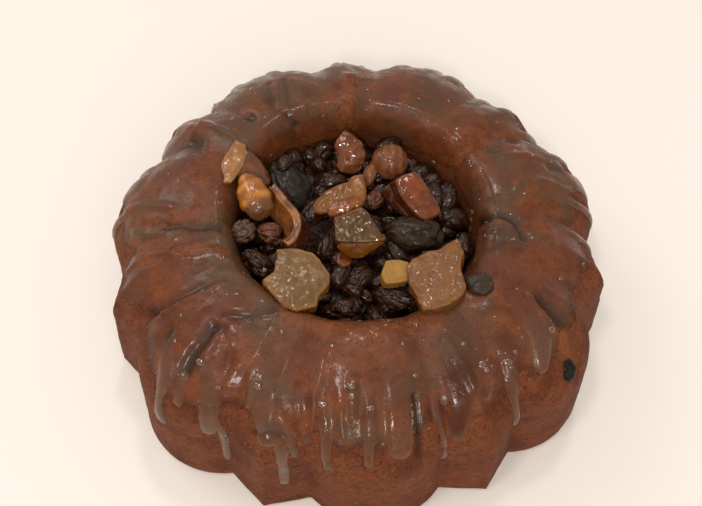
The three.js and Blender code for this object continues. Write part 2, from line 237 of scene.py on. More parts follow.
class Grain:
    """Seeded smooth noise on points in millimetres, the same on every run."""

    SLANT = np.array(((0.80, 0.36, -0.48), (-0.60, 0.48, -0.64), (0.0, 0.80, 0.60)))
    SALT_STEP = 7.31
    LAYER_SALT = 11
    LARGEST = 4294967295.0
    CROSS_PITCH = 0.53
    CROSS_SALT = 5

    def __init__(self, seed: int) -> None:
        """Keeps the seed.

        Args:
            seed: Any whole number.
        """
        self.seed = seed

    def _lattice(self, cells: np.ndarray, salt: int) -> np.ndarray:
        """Returns a number from 0 to 1 for each lattice cell.

        Args:
            cells: Whole coordinates, rows of three.
            salt: Tells one use from the next.
        """
        whole = cells.astype(np.int64).astype(np.uint32)
        mixed = whole[..., 0] * np.uint32(0x8DA6B343) ^ whole[..., 1] * np.uint32(0xD8163841)
        mixed = mixed ^ whole[..., 2] * np.uint32(0xCB1AB31F)
        mixed = mixed ^ np.uint32((self.seed * 0x9E3779B1 + salt * 0x85EBCA6B) & 0xFFFFFFFF)
        for shift, factor in ((16, 0x7FEB352D), (15, 0x846CA68B), (16, 1)):
            mixed = (mixed ^ (mixed >> np.uint32(shift))) * np.uint32(factor)
        return mixed / self.LARGEST

    def smooth(self, points: np.ndarray, pitch: float, salt: int = 0) -> np.ndarray:
        """Returns noise from -1 to 1 whose bumps are about one pitch across.

        Args:
            points: Places, rows of three.
            pitch: Size of a bump, in the points' unit.
            salt: Tells one use from the next.
        """
        scaled = points @ self.SLANT / pitch + salt * self.SALT_STEP
        base = np.floor(scaled)
        part = scaled - base
        ease = part * part * part * (part * (part * 6 - 15) + 10)
        total = np.zeros(len(points))
        for corner in np.ndindex(2, 2, 2):
            weight = np.prod(np.where(np.array(corner) == 1, ease, 1 - ease), axis=1)
            total += weight * self._lattice(base + corner, salt)
        return total * 2 - 1

    def layered(self, points: np.ndarray, pitch: float, layers: int = 3, salt: int = 0) -> np.ndarray:
        """Returns noise with finer and weaker layers added.

        Args:
            points: Places, rows of three.
            pitch: Size of the largest bumps.
            layers: How many layers, each at half the pitch of the last.
            salt: Tells one use from the next.
        """
        total = np.zeros(len(points))
        for layer in range(layers):
            total += self.smooth(points, pitch / 2**layer, salt + self.LAYER_SALT * layer) / 2**layer
        return total / (2 - 2.0 ** (1 - layers))

    def creases(self, points: np.ndarray, pitch: float, salt: int = 0) -> np.ndarray:
        """Returns sharp valleys between round ridges, from 0 in a valley to 1 on a ridge.

        Args:
            points: Places, rows of three.
            pitch: Distance between valleys, roughly.
            salt: Tells one use from the next.
        """
        first = np.abs(self.smooth(points, pitch, salt))
        second = np.abs(self.smooth(points, pitch * self.CROSS_PITCH, salt + self.CROSS_SALT))
        return np.clip(1.6 * np.minimum(first * 1.15, second + 0.22), 0, 1)


def spread(values: np.ndarray, low: float, high: float) -> np.ndarray:
    """Returns 0 below low, 1 above high and a smooth step between.

    Args:
        values: What to grade.
        low: Where the step starts.
        high: Where it ends, which may be under low for a falling step.
    """
    share = np.clip((values - low) / (high - low), 0, 1)
    return share * share * (3 - 2 * share)


def distance_to_line(points: np.ndarray, line: np.ndarray) -> tuple[np.ndarray, np.ndarray]:
    """Measures how far points lie from a line of straight runs.

    Args:
        points: Places, rows of three.
        line: The line's corners, rows of three.

    Returns:
        The distance, and the share of the line's length at the nearest place.
    """
    nearest = np.full(len(points), np.inf)
    share = np.zeros(len(points))
    runs = np.linalg.norm(np.diff(line, axis=0), axis=1)
    begun = 0.0
    for start, end, run in zip(line[:-1], line[1:], runs):
        along = np.clip(((points - start) @ (end - start)) / max(run * run, 1e-12), 0, 1)
        away = np.linalg.norm(points - (start + along[:, None] * (end - start)), axis=1)
        closer = away < nearest
        nearest[closer] = away[closer]
        share[closer] = (begun + along[closer] * run) / runs.sum()
        begun += run
    return nearest, share


def moved(points: np.ndarray, matrix: Matrix) -> np.ndarray:
    """Returns points, rows of three, moved by a matrix."""
    move = np.array(matrix)
    return points @ move[:3, :3].T + move[:3, 3]


def near_line(points: np.ndarray, line: np.ndarray, reach: float) -> np.ndarray:
    """Tells which points lie in the box round a line, widened by a reach."""
    return np.all((points > line.min(0) - reach) & (points < line.max(0) + reach), axis=1)


def smooth_max(a: np.ndarray, b: np.ndarray, blend: float) -> np.ndarray:
    """Returns the larger of two fields, with the join rounded over a width."""
    share = np.clip(0.5 + 0.5 * (a - b) / blend, 0, 1)
    return b + (a - b) * share + blend * share * (1 - share)


# --- The viewpoint ---


@dataclass(frozen=True)
class Viewpoint:
    """The photograph's camera, looking down at the front of the cake."""

    frame_width: int = 702
    frame_height: int = 506
    focal_pixels: float = 949.7
    elevation: float = math.radians(57.824)
    distance: float = 361.9
    target_height: float = 31.7
    axis_pixel: Pixel = (358.6, 256.8)
    roll: float = math.radians(-1.966)
    sensor_width: float = 36.0

    def axes(self) -> tuple[Vector, Vector, Vector]:
        """Returns the camera's right, up and backward directions."""
        back = Vector((0, -math.cos(self.elevation), math.sin(self.elevation)))
        right = Vector((1, 0, 0))
        up = back.cross(right)
        cosine, sine = math.cos(self.roll), math.sin(self.roll)
        return cosine * right - sine * up, sine * right + cosine * up, back

    def position(self) -> Vector:
        """Returns where the camera stands, in millimetres."""
        return Vector((0, 0, self.target_height)) + self.axes()[2] * self.distance

    def ray(self, pixel: Pixel) -> tuple[Vector, Vector]:
        """Finds the line of sight through a pixel of the photograph.

        Args:
            pixel: Its place, from the top left.

        Returns:
            The camera's position and the direction of sight.
        """
        right, up, back = self.axes()
        across = (pixel[0] - self.axis_pixel[0]) / self.focal_pixels
        rise = (self.axis_pixel[1] - pixel[1]) / self.focal_pixels
        return self.position(), (right * across + up * rise - back).normalized()

    def meet(self, pixel: Pixel, place: Vector, normal: Vector) -> Vector:
        """Finds where the line of sight through a pixel meets a plane.

        Args:
            pixel: Its place in the photograph.
            place: A point of the plane, in millimetres.
            normal: The plane's normal.

        Returns:
            The point that the pixel shows on the plane.
        """
        origin, direction = self.ray(pixel)
        return origin + direction * ((place - origin).dot(normal) / direction.dot(normal))

    def set_up(self) -> bpy.types.Object:
        """Makes the camera and gives it to the scene.

        Returns:
            The camera.
        """
        Bench.clear_selection()
        bpy.ops.object.camera_add(location=self.position() * MM)
        camera = Bench.started("camera")
        right, up, back = self.axes()
        camera.rotation_euler = Matrix((right, up, back)).transposed().to_euler()
        camera.data.sensor_width = self.sensor_width
        camera.data.lens = self.focal_pixels / self.frame_width * self.sensor_width
        camera.data.shift_x = (self.frame_width / 2 - self.axis_pixel[0]) / self.frame_width
        camera.data.shift_y = (self.axis_pixel[1] - self.frame_height / 2) / self.frame_width
        camera.data.clip_start = 0.01
        bpy.context.scene.camera = camera
        return camera


# --- The form of the ring, the same as the solid's ---


@dataclass
class Section:
    """The ring's section as columns of numbers, one row a point."""

    radius: np.ndarray
    height: np.ndarray
    cut_out: np.ndarray
    cut_up: np.ndarray
    shift: np.ndarray


@dataclass(frozen=True)
class FlutedRing:
    """The ring's form: seven wide lobes and seven narrow ribs round a hole. Millimetres."""

    base_radius: float = 95.0
    base_rounding: float = 2.4
    shoulder_radius: float = 92.7
    shoulder_height: float = 32.0
    height: float = 61.0
    crown_fullness: float = 1.95
    crest_radius: float = 50.5
    hole_radius: float = 43.5
    mouth_depth: float = 12.5
    hole_base_radius: float = 28.0
    hole_shift: tuple[float, float] = (-1.0, 3.4)
    flutes: int = 7
    first_lobe: float = math.radians(-83.8)
    flute_depth: float = 8.1
    rib_share: float = 0.386
    lobe_roundness: float = 2.15
    rib_roundness: float = 0.85
    rib_tip_cut: float = 0.11
    crest_share: float = 0.135
    mouth_share: float = 0.04
    uneven_radius: tuple[Triple, ...] = ((2, 0.013, 0.008), (3, 0.001, -0.007), (4, -0.005, -0.002))
    uneven_height: tuple[float, float] = (-0.031, 0.018)

    def flute_cut(self, angle: np.ndarray) -> np.ndarray:
        """Returns how deep the flutes cut at each angle: 0 on a lobe, 1 in a valley."""
        period = TURN / self.flutes
        offset = np.abs(np.mod(angle - self.first_lobe + period / 2, period) - period / 2)
        lobe_half = period / 2 * (1 - self.rib_share)
        from_tip = np.clip((period / 2 - offset) / (period / 2 - lobe_half), 0, 1)
        on_rib = self.rib_tip_cut + (1 - self.rib_tip_cut) * from_tip**self.rib_roundness
        on_lobe = np.clip(offset / lobe_half, 0, 1) ** self.lobe_roundness
        return np.where(offset < lobe_half, on_lobe, on_rib)

    def wave(self, angle: np.ndarray) -> tuple[np.ndarray, np.ndarray]:
        """Returns what the uneven bake multiplies the radius and the height by."""
        radius = 1.0
        for waves, cosine, sine in self.uneven_radius:
            radius = radius + cosine * np.cos(waves * angle) + sine * np.sin(waves * angle)
        cosine, sine = self.uneven_height
        return radius, 1 + cosine * np.cos(angle) + sine * np.sin(angle)

    def from_hole(self, points: np.ndarray) -> np.ndarray:
        """Returns how far points lie from the upright line through the hole's mouth."""
        return np.linalg.norm(points[:, :2] - np.array(self.hole_shift), axis=1)

    def section(self, parts: dict[str, int]) -> Section:
        """Follows the section from the foot of the hole round by the base, the wall and the crest.

        Args:
            parts: The steps on the base, edge, wall, crown, mouth and hole, by those names.

        Returns:
            The section's points. The last one is the first again.
        """
        rows: list[tuple[float, float, float, float]] = []

        def add(radius: float, height: float, normal: float, share: float) -> None:
            """Adds a point whose flutes cut a share of their depth against its normal."""
            rows.append((radius, height, math.cos(normal) * share, math.sin(normal) * share))

        for i in range(parts["base"]):
            out = i / parts["base"]
            inner = self.base_radius - self.base_rounding - self.hole_base_radius
            add(self.hole_base_radius + inner * out, 0, 0, out**3)
        for i in range(parts["edge"]):
            turn = i / parts["edge"] * QUARTER
            radius = self.base_radius - self.base_rounding * (1 - math.sin(turn))
            add(radius, self.base_rounding * (1 - math.cos(turn)), 0, 1)
        for i in range(parts["wall"]):
            rise = i / parts["wall"]
            radius = self.base_radius + (self.shoulder_radius - self.base_radius) * rise
            add(radius, self.base_rounding + (self.shoulder_height - self.base_rounding) * rise, 0, 1)
        width = self.shoulder_radius - self.crest_radius
        rise = self.height - self.shoulder_height
        for i in range(parts["crown"]):
            turn = i / parts["crown"] * QUARTER
            across = max(math.cos(turn), 0.0) ** (2 / self.crown_fullness)
            up = math.sin(turn) ** (2 / self.crown_fullness)
            power = self.crown_fullness - 1
            normal = math.atan2(up**power / rise, across**power / width)
            share = 1 + (self.crest_share - 1) * normal / QUARTER
            add(self.crest_radius + width * across, self.shoulder_height + rise * up, normal, share)
        for i in range(parts["mouth"]):
            turn = QUARTER * (1 + i / parts["mouth"])
            share = self.crest_share + (self.mouth_share - self.crest_share) * i / parts["mouth"]
            radius = self.crest_radius + (self.crest_radius - self.hole_radius) * math.cos(turn)
            add(radius, self.height - self.mouth_depth * (1 - math.sin(turn)), turn, share)
        for i in range(parts["hole"] + 1):
            drop = i / parts["hole"]
            radius = self.hole_radius + (self.hole_base_radius - self.hole_radius) * drop
            height = (self.height - self.mouth_depth) * (1 - drop)
            add(radius, height, math.pi, self.mouth_share * (1 - drop))
        radius, height, cut_out, cut_up = np.array(rows).T
        shift = np.clip((self.shoulder_radius - radius) / width, 0, 1)
        return Section(radius, height, cut_out, cut_up, shift)

    def surface(self, angle: np.ndarray, section: Section) -> np.ndarray:
        """Returns the surface on a grid of angles by section points.

        Args:
            angle: The angles round the ring.
            section: The section's points.
        """
        depth = (self.flute_depth * self.flute_cut(angle))[:, None]
        wide, tall = (value[:, None] for value in self.wave(angle))
        radius = (section.radius - section.cut_out * depth) * wide
        return np.stack(
            (
                radius * np.cos(angle)[:, None] + section.shift * self.hole_shift[0],
                radius * np.sin(angle)[:, None] + section.shift * self.hole_shift[1],
                (section.height - section.cut_up * depth) * tall,
            ),
            axis=-1,
        )


def grid_normals(grid: np.ndarray) -> np.ndarray:
    """Returns the outward normals of a closed ring of surface points.

    Args:
        grid: Points round the ring by points round the section, each end repeated.
    """
    around = np.concatenate((grid[-2:-1], grid, grid[1:2]))
    across = np.concatenate((grid[:, -2:-1], grid, grid[:, 1:2]), axis=1)
    normal = np.cross(around[2:] - around[:-2], across[:, 2:] - across[:, :-2])
    length = np.linalg.norm(normal, axis=-1, keepdims=True)
    return normal / np.maximum(length, 1e-9)


# --- Marks on the cake, read off the photograph and laid on the ring ---


@dataclass(frozen=True)
class Crease:
    """A raised or sunken line on the cake. Its rise is under 0 where it is a groove, which is painted with
    shade.
    """

    pixels: tuple[Pixel, ...]
    width: float
    rise: float
    crumb: float = 0.0


@dataclass(frozen=True)
class Drip:
    """A run of glaze, with its half width at the top and at the end.

    Its milk is how far it is milky, and under 0 how far it is clear and dark.
    """

    pixels: tuple[Pixel, ...]
    widths: tuple[float, float]
    thickness: float
    milk: float = 0.6


RIM_LINES = (
    Crease(((162, 313), (179, 302), (204, 293), (221, 285)), 0.8, 1.0),
    Crease(((152, 313), (167, 305), (185, 296), (203, 288)), 1.6, -1.0),
    Crease(((214, 328), (204, 340), (193, 354), (185, 371)), 2.2, -2.0),
    Crease(((216, 334), (207, 349), (200, 363), (194, 380)), 1.1, 1.0),
    Crease(((170, 331), (166, 338)), 1.6, -1.2),
    Crease(((230, 352), (228, 366), (223, 377), (217, 389)), 0.9, 0.8),
    Crease(((257, 405), (252, 418), (251, 433)), 0.8, 0.8),
    Crease(((256, 433), (270, 432), (283, 434)), 1.2, -0.8),
    Crease(((232, 303), (246, 304), (260, 304)), 8.0, 1.3),
    Crease(((221, 316), (249, 318), (276, 313)), 1.1, -0.9),
    Crease(((447, 330), (461, 341), (468, 349)), 0.9, 0.5),
    Crease(((461, 363), (468, 374), (475, 387), (482, 396)), 0.9, 1.0),
    Crease(((530, 294), (534, 302), (542, 312), (549, 321), (552, 334)), 0.9, 1.1),
    Crease(((540, 299), (550, 309), (561, 322)), 1.8, -1.8),
    Crease(((542, 289), (558, 299), (573, 311), (575, 322)), 1.0, 1.2),
    Crease(((414, 396), (416, 408), (418, 425), (419, 453)), 0.9, -1.4),
    Crease(((478, 224), (488, 218), (502, 215), (515, 221), (523, 236)), 1.3, -1.5),
    Crease(((497, 238), (506, 238)), 5.0, -0.7),
    Crease(((487, 231), (499, 227), (513, 232)), 0.6, 0.6),
    Crease(((499, 251), (516, 245), (534, 244), (551, 235)), 1.1, 0.8),
    Crease(((537, 180), (552, 184), (567, 192), (584, 204)), 1.0, 0.9),
    Crease(((501, 157), (523, 155), (542, 159)), 1.0, 0.7),
    Crease(((550, 168), (559, 171)), 2.6, -1.0),
    Crease(((511, 140), (515, 141)), 2.0, -0.9),
    Crease(((490, 152), (494, 153)), 1.6, -0.7),
    Crease(((202, 123), (218, 129), (232, 136), (238, 142)), 0.8, 1.0),
    Crease(((191, 142), (199, 143)), 3.6, -1.9),
    Crease(((129, 209), (143, 207), (157, 206), (173, 207)), 0.9, 1.0),
    Crease(((135, 233), (152, 235), (169, 232), (183, 228)), 0.9, 1.0),
    Crease(((128, 273), (140, 261), (157, 254), (173, 253)), 1.0, 1.1),
    Crease(((166, 228), (190, 227), (221, 229)), 1.3, -1.1),
    Crease(((278, 80), (278, 92), (279, 105)), 0.8, 0.5),
    Crease(((291, 80), (298, 95), (305, 109)), 0.8, 0.5),
    Crease(((284, 80), (287, 94), (290, 104)), 1.0, -0.6),
    Crease(((269, 84), (270, 95), (272, 106)), 1.0, -0.6),
    Crease(((250, 117), (252, 118)), 1.2, -1.2),
    Crease(((287, 115), (292, 120), (296, 126)), 1.0, -1.0),
)
CRUMB_LINES = (
    Crease(((353, 78), (351, 92), (349, 105), (347, 120), (347, 140)), 2.6, 1.4, 1.0),
    Crease(((447, 175), (455, 160), (465, 147)), 5.0, 0.2, 0.9),
    Crease(((523, 231), (536, 228), (549, 230)), 2.0, 0.3, 0.8),
    Crease(((523, 206), (540, 205), (558, 207)), 1.8, 0.3, 0.6),
    Crease(((141, 221), (157, 221), (170, 219)), 2.8, 0.2, 0.8),
    Crease(((132, 247), (150, 246), (168, 245)), 2.4, 0.2, 0.8),
    Crease(((174, 251), (193, 252), (207, 248), (221, 251), (226, 256)), 1.4, 0.8, 0.9),
    Crease(((561, 336), (567, 352)), 2.8, 0.1, 1.0),
    Crease(((270, 315), (300, 322), (350, 324)), 2.0, 0.3, 0.5),
    Crease(((292, 323), (330, 328), (380, 329), (432, 322)), 3.2, 0.1, 0.75),
)
DRIPS = (
    Drip(((170, 336), (166, 375), (161, 417)), (3.0, 2.6), 0.9, 0.9),
    Drip(((188, 372), (181, 392), (178, 402)), (2.4, 1.6), 0.5, 0.7),
    Drip(((212, 360), (211, 395), (209, 430)), (4.4, 2.8), 0.9, 0.85),
    Drip(((214, 396), (222, 434), (228, 457)), (1.6, 1.1), 0.8, 0.9),
    Drip(((250, 365), (250, 385), (249, 405)), (1.4, 1.1), 0.9, 0.2),
    Drip(((262, 376), (264, 410), (268, 436)), (3.8, 4.4), 0.6, 0.5),
    Drip(((278, 408), (290, 438), (295, 454)), (1.8, 1.2), 0.8, 0.6),
    Drip(((272, 412), (281, 452), (285, 482)), (2.2, 1.8), 0.6, 0.6),
    Drip(((306, 384), (306, 410), (307, 440)), (2.4, 1.4), 0.7, 0.1),
    Drip(((320, 376), (325, 430), (328, 465)), (2.6, 1.6), 1.0, 0.35),
    Drip(((340, 382), (341, 415), (343, 440)), (2.2, 1.4), 0.8, 0.0),
    Drip(((352, 372), (353, 398), (352, 418)), (1.8, 1.4), 0.9, 0.2),
    Drip(((367, 382), (370, 430), (369, 464)), (2.3, 1.5), 1.0, 0.45),
    Drip(((397, 366), (401, 415), (400, 448)), (5.4, 4.2), 1.1, 0.3),
    Drip(((431, 385), (437, 417), (443, 436), (444, 456)), (1.4, 1.1), 1.0, 0.5),
    Drip(((452, 350), (461, 385), (458, 433)), (7.5, 2.6), 0.7, -0.75),
    Drip(((487, 360), (489, 382), (487, 396)), (2.0, 1.2), 0.8, 0.5),
    Drip(((506, 350), (512, 392), (515, 420)), (2.8, 1.7), 1.0, 0.8),
    Drip(((533, 310), (541, 340), (542, 366)), (5.6, 2.6), 1.1, 0.8),
)
LARGE_BEADS = (
    (433, 163), (454, 188), (471, 212), (470, 220), (469, 229), (258, 386), (259, 377), (323, 404),
    (351, 386), (352, 396), (371, 408), (412, 421), (412, 413), (482, 364), (486, 370), (507, 362),
    (201, 362), (550, 330),
)  # fmt: skip
BEADS = (
    (181, 315), (175, 341), (202, 361), (226, 371), (218, 387), (257, 370), (259, 387), (282, 332),
    (332, 346), (330, 354), (228, 296), (237, 296), (322, 403), (353, 383), (352, 403), (368, 408),
    (411, 405), (416, 432), (463, 344), (476, 349), (487, 360), (491, 366), (505, 353), (510, 367),
    (519, 328), (522, 337), (549, 321), (470, 214), (471, 220), (469, 228), (433, 163), (454, 187),
    (481, 172), (470, 164), (484, 220), (511, 214), (514, 189), (457, 129), (424, 340), (471, 299),
    (195, 155), (188, 165), (179, 181), (172, 207), (202, 123), (256, 94), (265, 117), (302, 107),
    (222, 203), (204, 293),
)  # fmt: skip


class Landing:
    """Finds the place on the ring that a pixel of the photograph shows."""

    MISS_HEIGHT = 50.0

    def __init__(self, ring: FlutedRing, view: Viewpoint) -> None:
        """Keeps a plain skin of the ring for lines of sight to land on.

        Args:
            ring: The ring's form.
            view: The photograph's camera.
        """
        self.view = view
        angles = np.linspace(0, TURN, 241)
        section = ring.section({"base": 1, "edge": 2, "wall": 8, "crown": 30, "mouth": 12, "hole": 6})
        grid = ring.surface(angles, section)
        rows, columns = grid.shape[:2]
        faces = [
            (i * columns + j, (i + 1) * columns + j, (i + 1) * columns + j + 1, i * columns + j + 1)
            for i in range(rows - 1)
            for j in range(columns - 1)
        ]
        self.skin = BVHTree.FromPolygons([Vector(point) for point in grid.reshape(-1, 3)], faces)

    def place(self, pixel: Pixel) -> np.ndarray:
        """Returns the place on the ring under a pixel, or the nearest one beside it.

        Args:
            pixel: Its place in the photograph.
        """
        origin, direction = self.view.ray(pixel)
        hit = self.skin.ray_cast(origin, direction)[0]
        if hit is None:
            reach = (Vector((0, 0, self.MISS_HEIGHT)) - origin).dot(direction)
            hit = self.skin.find_nearest(origin + direction * reach)[0]
        return np.array(hit)

    def line(self, pixels: Iterable[Pixel]) -> np.ndarray:
        """Returns the places under a row of pixels."""
        return np.array([self.place(pixel) for pixel in pixels])


# --- Crust and glaze ---


@dataclass
class Relief:
    """What lies on the ring's plain form at each point of a grid.

    The lumps and the glaze are heights in millimetres. The rest are shares from 0 to 1: how far crumb shows,
    how far the place lies in a groove, which is painted as shade, and how far the glaze is milky, which is
    under 0 where it is clear and dark.
    """

    lumps: np.ndarray
    crumb: np.ndarray
    glaze: np.ndarray
    groove_shade: np.ndarray
    milk: np.ndarray


@dataclass
class CakeSkin:
    """The relief that the crust and the glaze share, so that one lies on the other. Millimetres."""

    ring: FlutedRing
    landing: Landing
    grain: Grain = field(default_factory=lambda: Grain(7))
    lump_height: float = 0.55
    lump_pitch: float = 15.0
    crumb_roughness: float = 0.42
    crumb_pitch: float = 3.2
    crease_depth: float = 0.95
    crease_margin: float = 0.5
    crease_spread: float = 1.15
    soaked_and_shaded_below: float = 51.0
    soaked_and_shaded_fade: float = 10.0
    soaked_and_shaded_wander: float = 2.0
    film_thickness: float = 0.2
    film_edge: float = 46.0
    film_edge_wander: float = 4.0
    film_edge_ring: float = 30.0
    film_edge_in_hole: float = 38.0
    film_fade: float = 5.0
    buried: float = 0.7
    bury_width: float = 0.8
    drip_rise: float = 1.15
    drip_fullness: float = 2.6
    drip_blend: float = 0.25
    pit_depth: float = 0.15
    pit_pitch: float = 6.0
    hidden_drips: int = 21
    hidden_seed: int = 23
    hidden_from: float = -4.0
    hidden_span: float = 188.0
    hidden_ends: tuple[float, float] = (22.0, 42.0)
    hidden_top: float = 54.0
    hidden_offset: float = 12.0
    hidden_widths: tuple[float, ...] = (1.4, 1.8, 2.6, 3.8, 5.2)
    hidden_taper: tuple[float, float] = (1.25, 0.85)
    hidden_thickness: tuple[float, float] = (0.7, 1.1)
    hidden_milk: tuple[float, float] = (0.1, 0.9)

    def drip_lines(self) -> list[tuple[np.ndarray, tuple[float, float], float, float]]:
        """Lists every drip as a line in space, its half widths, its thickness and its milk.

        Returns:
            The drips that the photograph shows, then more of their kind round the back.
        """
        drips = [(self.landing.line(drip.pixels), drip.widths, drip.thickness, drip.milk) for drip in DRIPS]
        random = np.random.default_rng(self.hidden_seed)
        section = self.ring.section({"base": 1, "edge": 1, "wall": 12, "crown": 24, "mouth": 1, "hole": 1})
        for i in range(self.hidden_drips):
            share = (i + 0.3 + 0.4 * random.random()) / self.hidden_drips
            angle = math.radians(self.hidden_from + self.hidden_span * share)
            column = self.ring.surface(np.array([angle]), section)[0]
            end = random.uniform(*self.hidden_ends)
            outer = np.linalg.norm(column[:, :2], axis=1) > self.ring.crest_radius + self.hidden_offset
            run = column[outer & (column[:, 2] > end) & (column[:, 2] < self.hidden_top)]
            width = random.choice(self.hidden_widths)
            widths = (width * self.hidden_taper[0], width * self.hidden_taper[1])
            thickness = random.uniform(*self.hidden_thickness)
            drips.append((run[::-1], widths, thickness, random.uniform(*self.hidden_milk)))
        return drips

    def crease_fields(self, points: np.ndarray) -> tuple[np.ndarray, np.ndarray, np.ndarray]:
        """Adds up the raised and sunk lines.

        Args:
            points: Places on the ring, rows of three.

        Returns:
            The rise, how far crumb shows, and how far the place lies in a groove, which is painted as shade.
        """
        rise = np.zeros(len(points))
        crumb = np.zeros(len(points))
        groove_shade = np.zeros(len(points))
        for crease in (*RIM_LINES, *CRUMB_LINES):
            line = self.landing.line(crease.pixels)
            near = near_line(points, line, 1.5 + 2.6 * crease.width)
            close = points[near]
            half = self.crease_margin + self.crease_spread * crease.width
            half = half * (1 + 0.3 * self.grain.smooth(close, 4.0, 31))
            away = distance_to_line(close, line)[0] / half
            share = np.exp(-(away**2) * 1.3)
            rise[near] += self.crease_depth * crease.rise * share
            ragged = away + 0.5 * self.grain.layered(close, 3.0, 2, 37)
            crumb[near] = np.maximum(crumb[near], crease.crumb * spread(ragged, 1.3, 0.2))
            # A groove's share is what the finishes paint as shade.
            if crease.rise < 0:
                groove_shade[near] = np.maximum(groove_shade[near], share * min(1.0, -crease.rise / 1.5))
        return rise, crumb, groove_shade

    def soaked_and_shaded(self, points: np.ndarray) -> np.ndarray:
        """Returns how far the crust is wet with syrup down the inside of the hole, and painted darker there
        as shade.

        Args:
            points: Places on the ring, rows of three.
        """
        low = points[:, 2] + self.soaked_and_shaded_wander * self.grain.smooth(points, 6, 91)
        wet = spread(low, self.soaked_and_shaded_below, self.soaked_and_shaded_below - self.soaked_and_shaded_fade)
        return (self.ring.from_hole(points) < self.ring.crest_radius) * wet

    def dive(self, outside: np.ndarray) -> np.ndarray:
        """Returns how deep the glaze's outer side lies under the crust, outside its own edge."""
        return self.buried * np.clip(outside / self.bury_width, 0, 1)

    def film_field(self, points: np.ndarray, angle: np.ndarray) -> np.ndarray:
        """Returns the glaze's thickness without its drips, under 0 where there is none.

        Args:
            points: Places on the ring, rows of three.
            angle: Their angles round it.
        """
        around = self.film_edge_ring * np.stack((np.cos(angle), np.sin(angle), np.zeros_like(angle)), axis=1)
        edge = self.film_edge + self.film_edge_wander * self.grain.layered(around, 6.0, 2, salt=3)
        in_hole = self.ring.from_hole(points) < self.ring.crest_radius
        inside = points[:, 2] - np.where(in_hole, self.film_edge_in_hole, edge)
        thick = self.film_thickness * (1 + 0.5 * self.grain.smooth(points, 7.0, 17))
        return thick * np.clip(inside / self.film_fade, 0, 1) - self.dive(-inside)

    def relief(self, points: np.ndarray, angle: np.ndarray) -> Relief:
        """Works out the relief at places on the ring.

        Args:
            points: The places, rows of three.
            angle: Their angles round the ring.

        Returns:
            The relief there.
        """
        rise, crumb, groove_shade = self.crease_fields(points)
        rough = self.grain.layered(points, self.crumb_pitch, 2, salt=61)
        lumps = self.lump_height * self.grain.layered(points, self.lump_pitch, 3) + rise
        lumps += self.crumb_roughness * crumb * rough
        milk = np.zeros(len(points))
        glaze = self.film_field(points, angle)
        for line, widths, thickness, milky in self.drip_lines():
            near = near_line(points, line, 2.5 * max(widths))
            close = points[near]
            away, share = distance_to_line(close, line)
            half = widths[0] + (widths[1] - widths[0]) * share
            half = half * (1 + 0.14 * self.grain.smooth(close, 5.0, 41))
            dome = np.sqrt(np.clip(1 - (away / half) ** self.drip_fullness, 0, 1))
            started = spread(share, -0.15, 0.4)
            run = self.drip_rise * thickness * dome * started - self.dive(away - half)
            glaze[near] = smooth_max(glaze[near], run, self.drip_blend)
            milk[near] += (milky - milk[near]) * dome * started
        pits = self.grain.smooth(points, self.pit_pitch, 51)
        glaze = glaze - self.pit_depth * crumb * spread(pits, -0.7, -0.3)
        return Relief(lumps, crumb, glaze, groove_shade, milk)


@dataclass
class RingPiece:
    """A closed ring-shaped piece made from a flat grid that is wrapped round."""

    name: str
    ring: FlutedRing
    around: int
    parts: dict[str, int]

    def grid(self) -> tuple[np.ndarray, np.ndarray, np.ndarray]:
        """Returns the plain form's points, their normals and their angles."""
        angles = np.linspace(0, TURN, self.around + 1)
        form = self.ring.surface(angles, self.ring.section(self.parts))
        normals = grid_normals(form)
        return form, normals, np.repeat(angles, form.shape[1])

    def wrapped(self, grid: np.ndarray, paint: dict[str, np.ndarray]) -> bpy.types.Object:
        """Wraps a flat sheet round the ring and closes its seams.

        Args:
            grid: Where each point goes, in millimetres, round the ring by round the section.
            paint: Numbers to store at each point, by name.

        Returns:
            The closed piece.
        """
        grid = grid.copy()
        grid[-1] = grid[0]
        grid[:, -1] = grid[:, 0]
        around, across = grid.shape[0] - 1, grid.shape[1] - 1
        piece = Bench.sheet(self.name, around, across)
        flat = Bench.points(piece)
        column = np.rint(flat[:, 0] * around).astype(int)
        row = np.rint(flat[:, 1] * across).astype(int)
        Bench.move_points(piece, grid[column, row] * MM)
        for name, values in paint.items():
            Bench.paint(piece, name, values.reshape(grid.shape[:2])[column, row])
        Bench.tidy(piece)
        Bench.smooth(piece)
        return piece


@dataclass
class Crust(RingPiece):
    """The baked crust: the whole ring with its lumps, creases and crumb."""

    name: str = "cake_crust"
    ring: FlutedRing = field(default_factory=FlutedRing)
    around: int = 576
    parts: dict[str, int] = field(
        default_factory=lambda: {"base": 8, "edge": 4, "wall": 40, "crown": 84, "mouth": 22, "hole": 10}
    )
    crumb_height: float = 0.16
    crumb_pitch: float = 2.6
    pore_depth: float = 0.6
    pore_pitch: float = 1.9
    flat_below: float = 0.2
    full_above: float = 4.0

    def build(self, skin: CakeSkin) -> bpy.types.Object:
        """Models the crust.

        Args:
            skin: The relief that it shares with the glaze.

        Returns:
            The crust.
        """
        form, normals, angle = self.grid()
        flat = form.reshape(-1, 3)
        relief = skin.relief(flat, angle)
        off_base = spread(flat[:, 2], self.flat_below, self.full_above)
        pores = spread(skin.grain.smooth(flat, self.pore_pitch, 71), 0.3, 0.7)
        rough = skin.grain.layered(flat, self.crumb_pitch, 2, salt=61) - self.pore_depth * pores
        height = (relief.lumps + self.crumb_height * rough) * off_base
        grid = form + normals * height.reshape(form.shape[:2])[..., None]
        # Low in the hole the finish paints shade, where the crust is also wet with syrup.
        paint = {"crumb": relief.crumb, "groove_shade": relief.groove_shade, "soaked_and_shaded": skin.soaked_and_shaded(flat)}
        return self.wrapped(grid, paint)


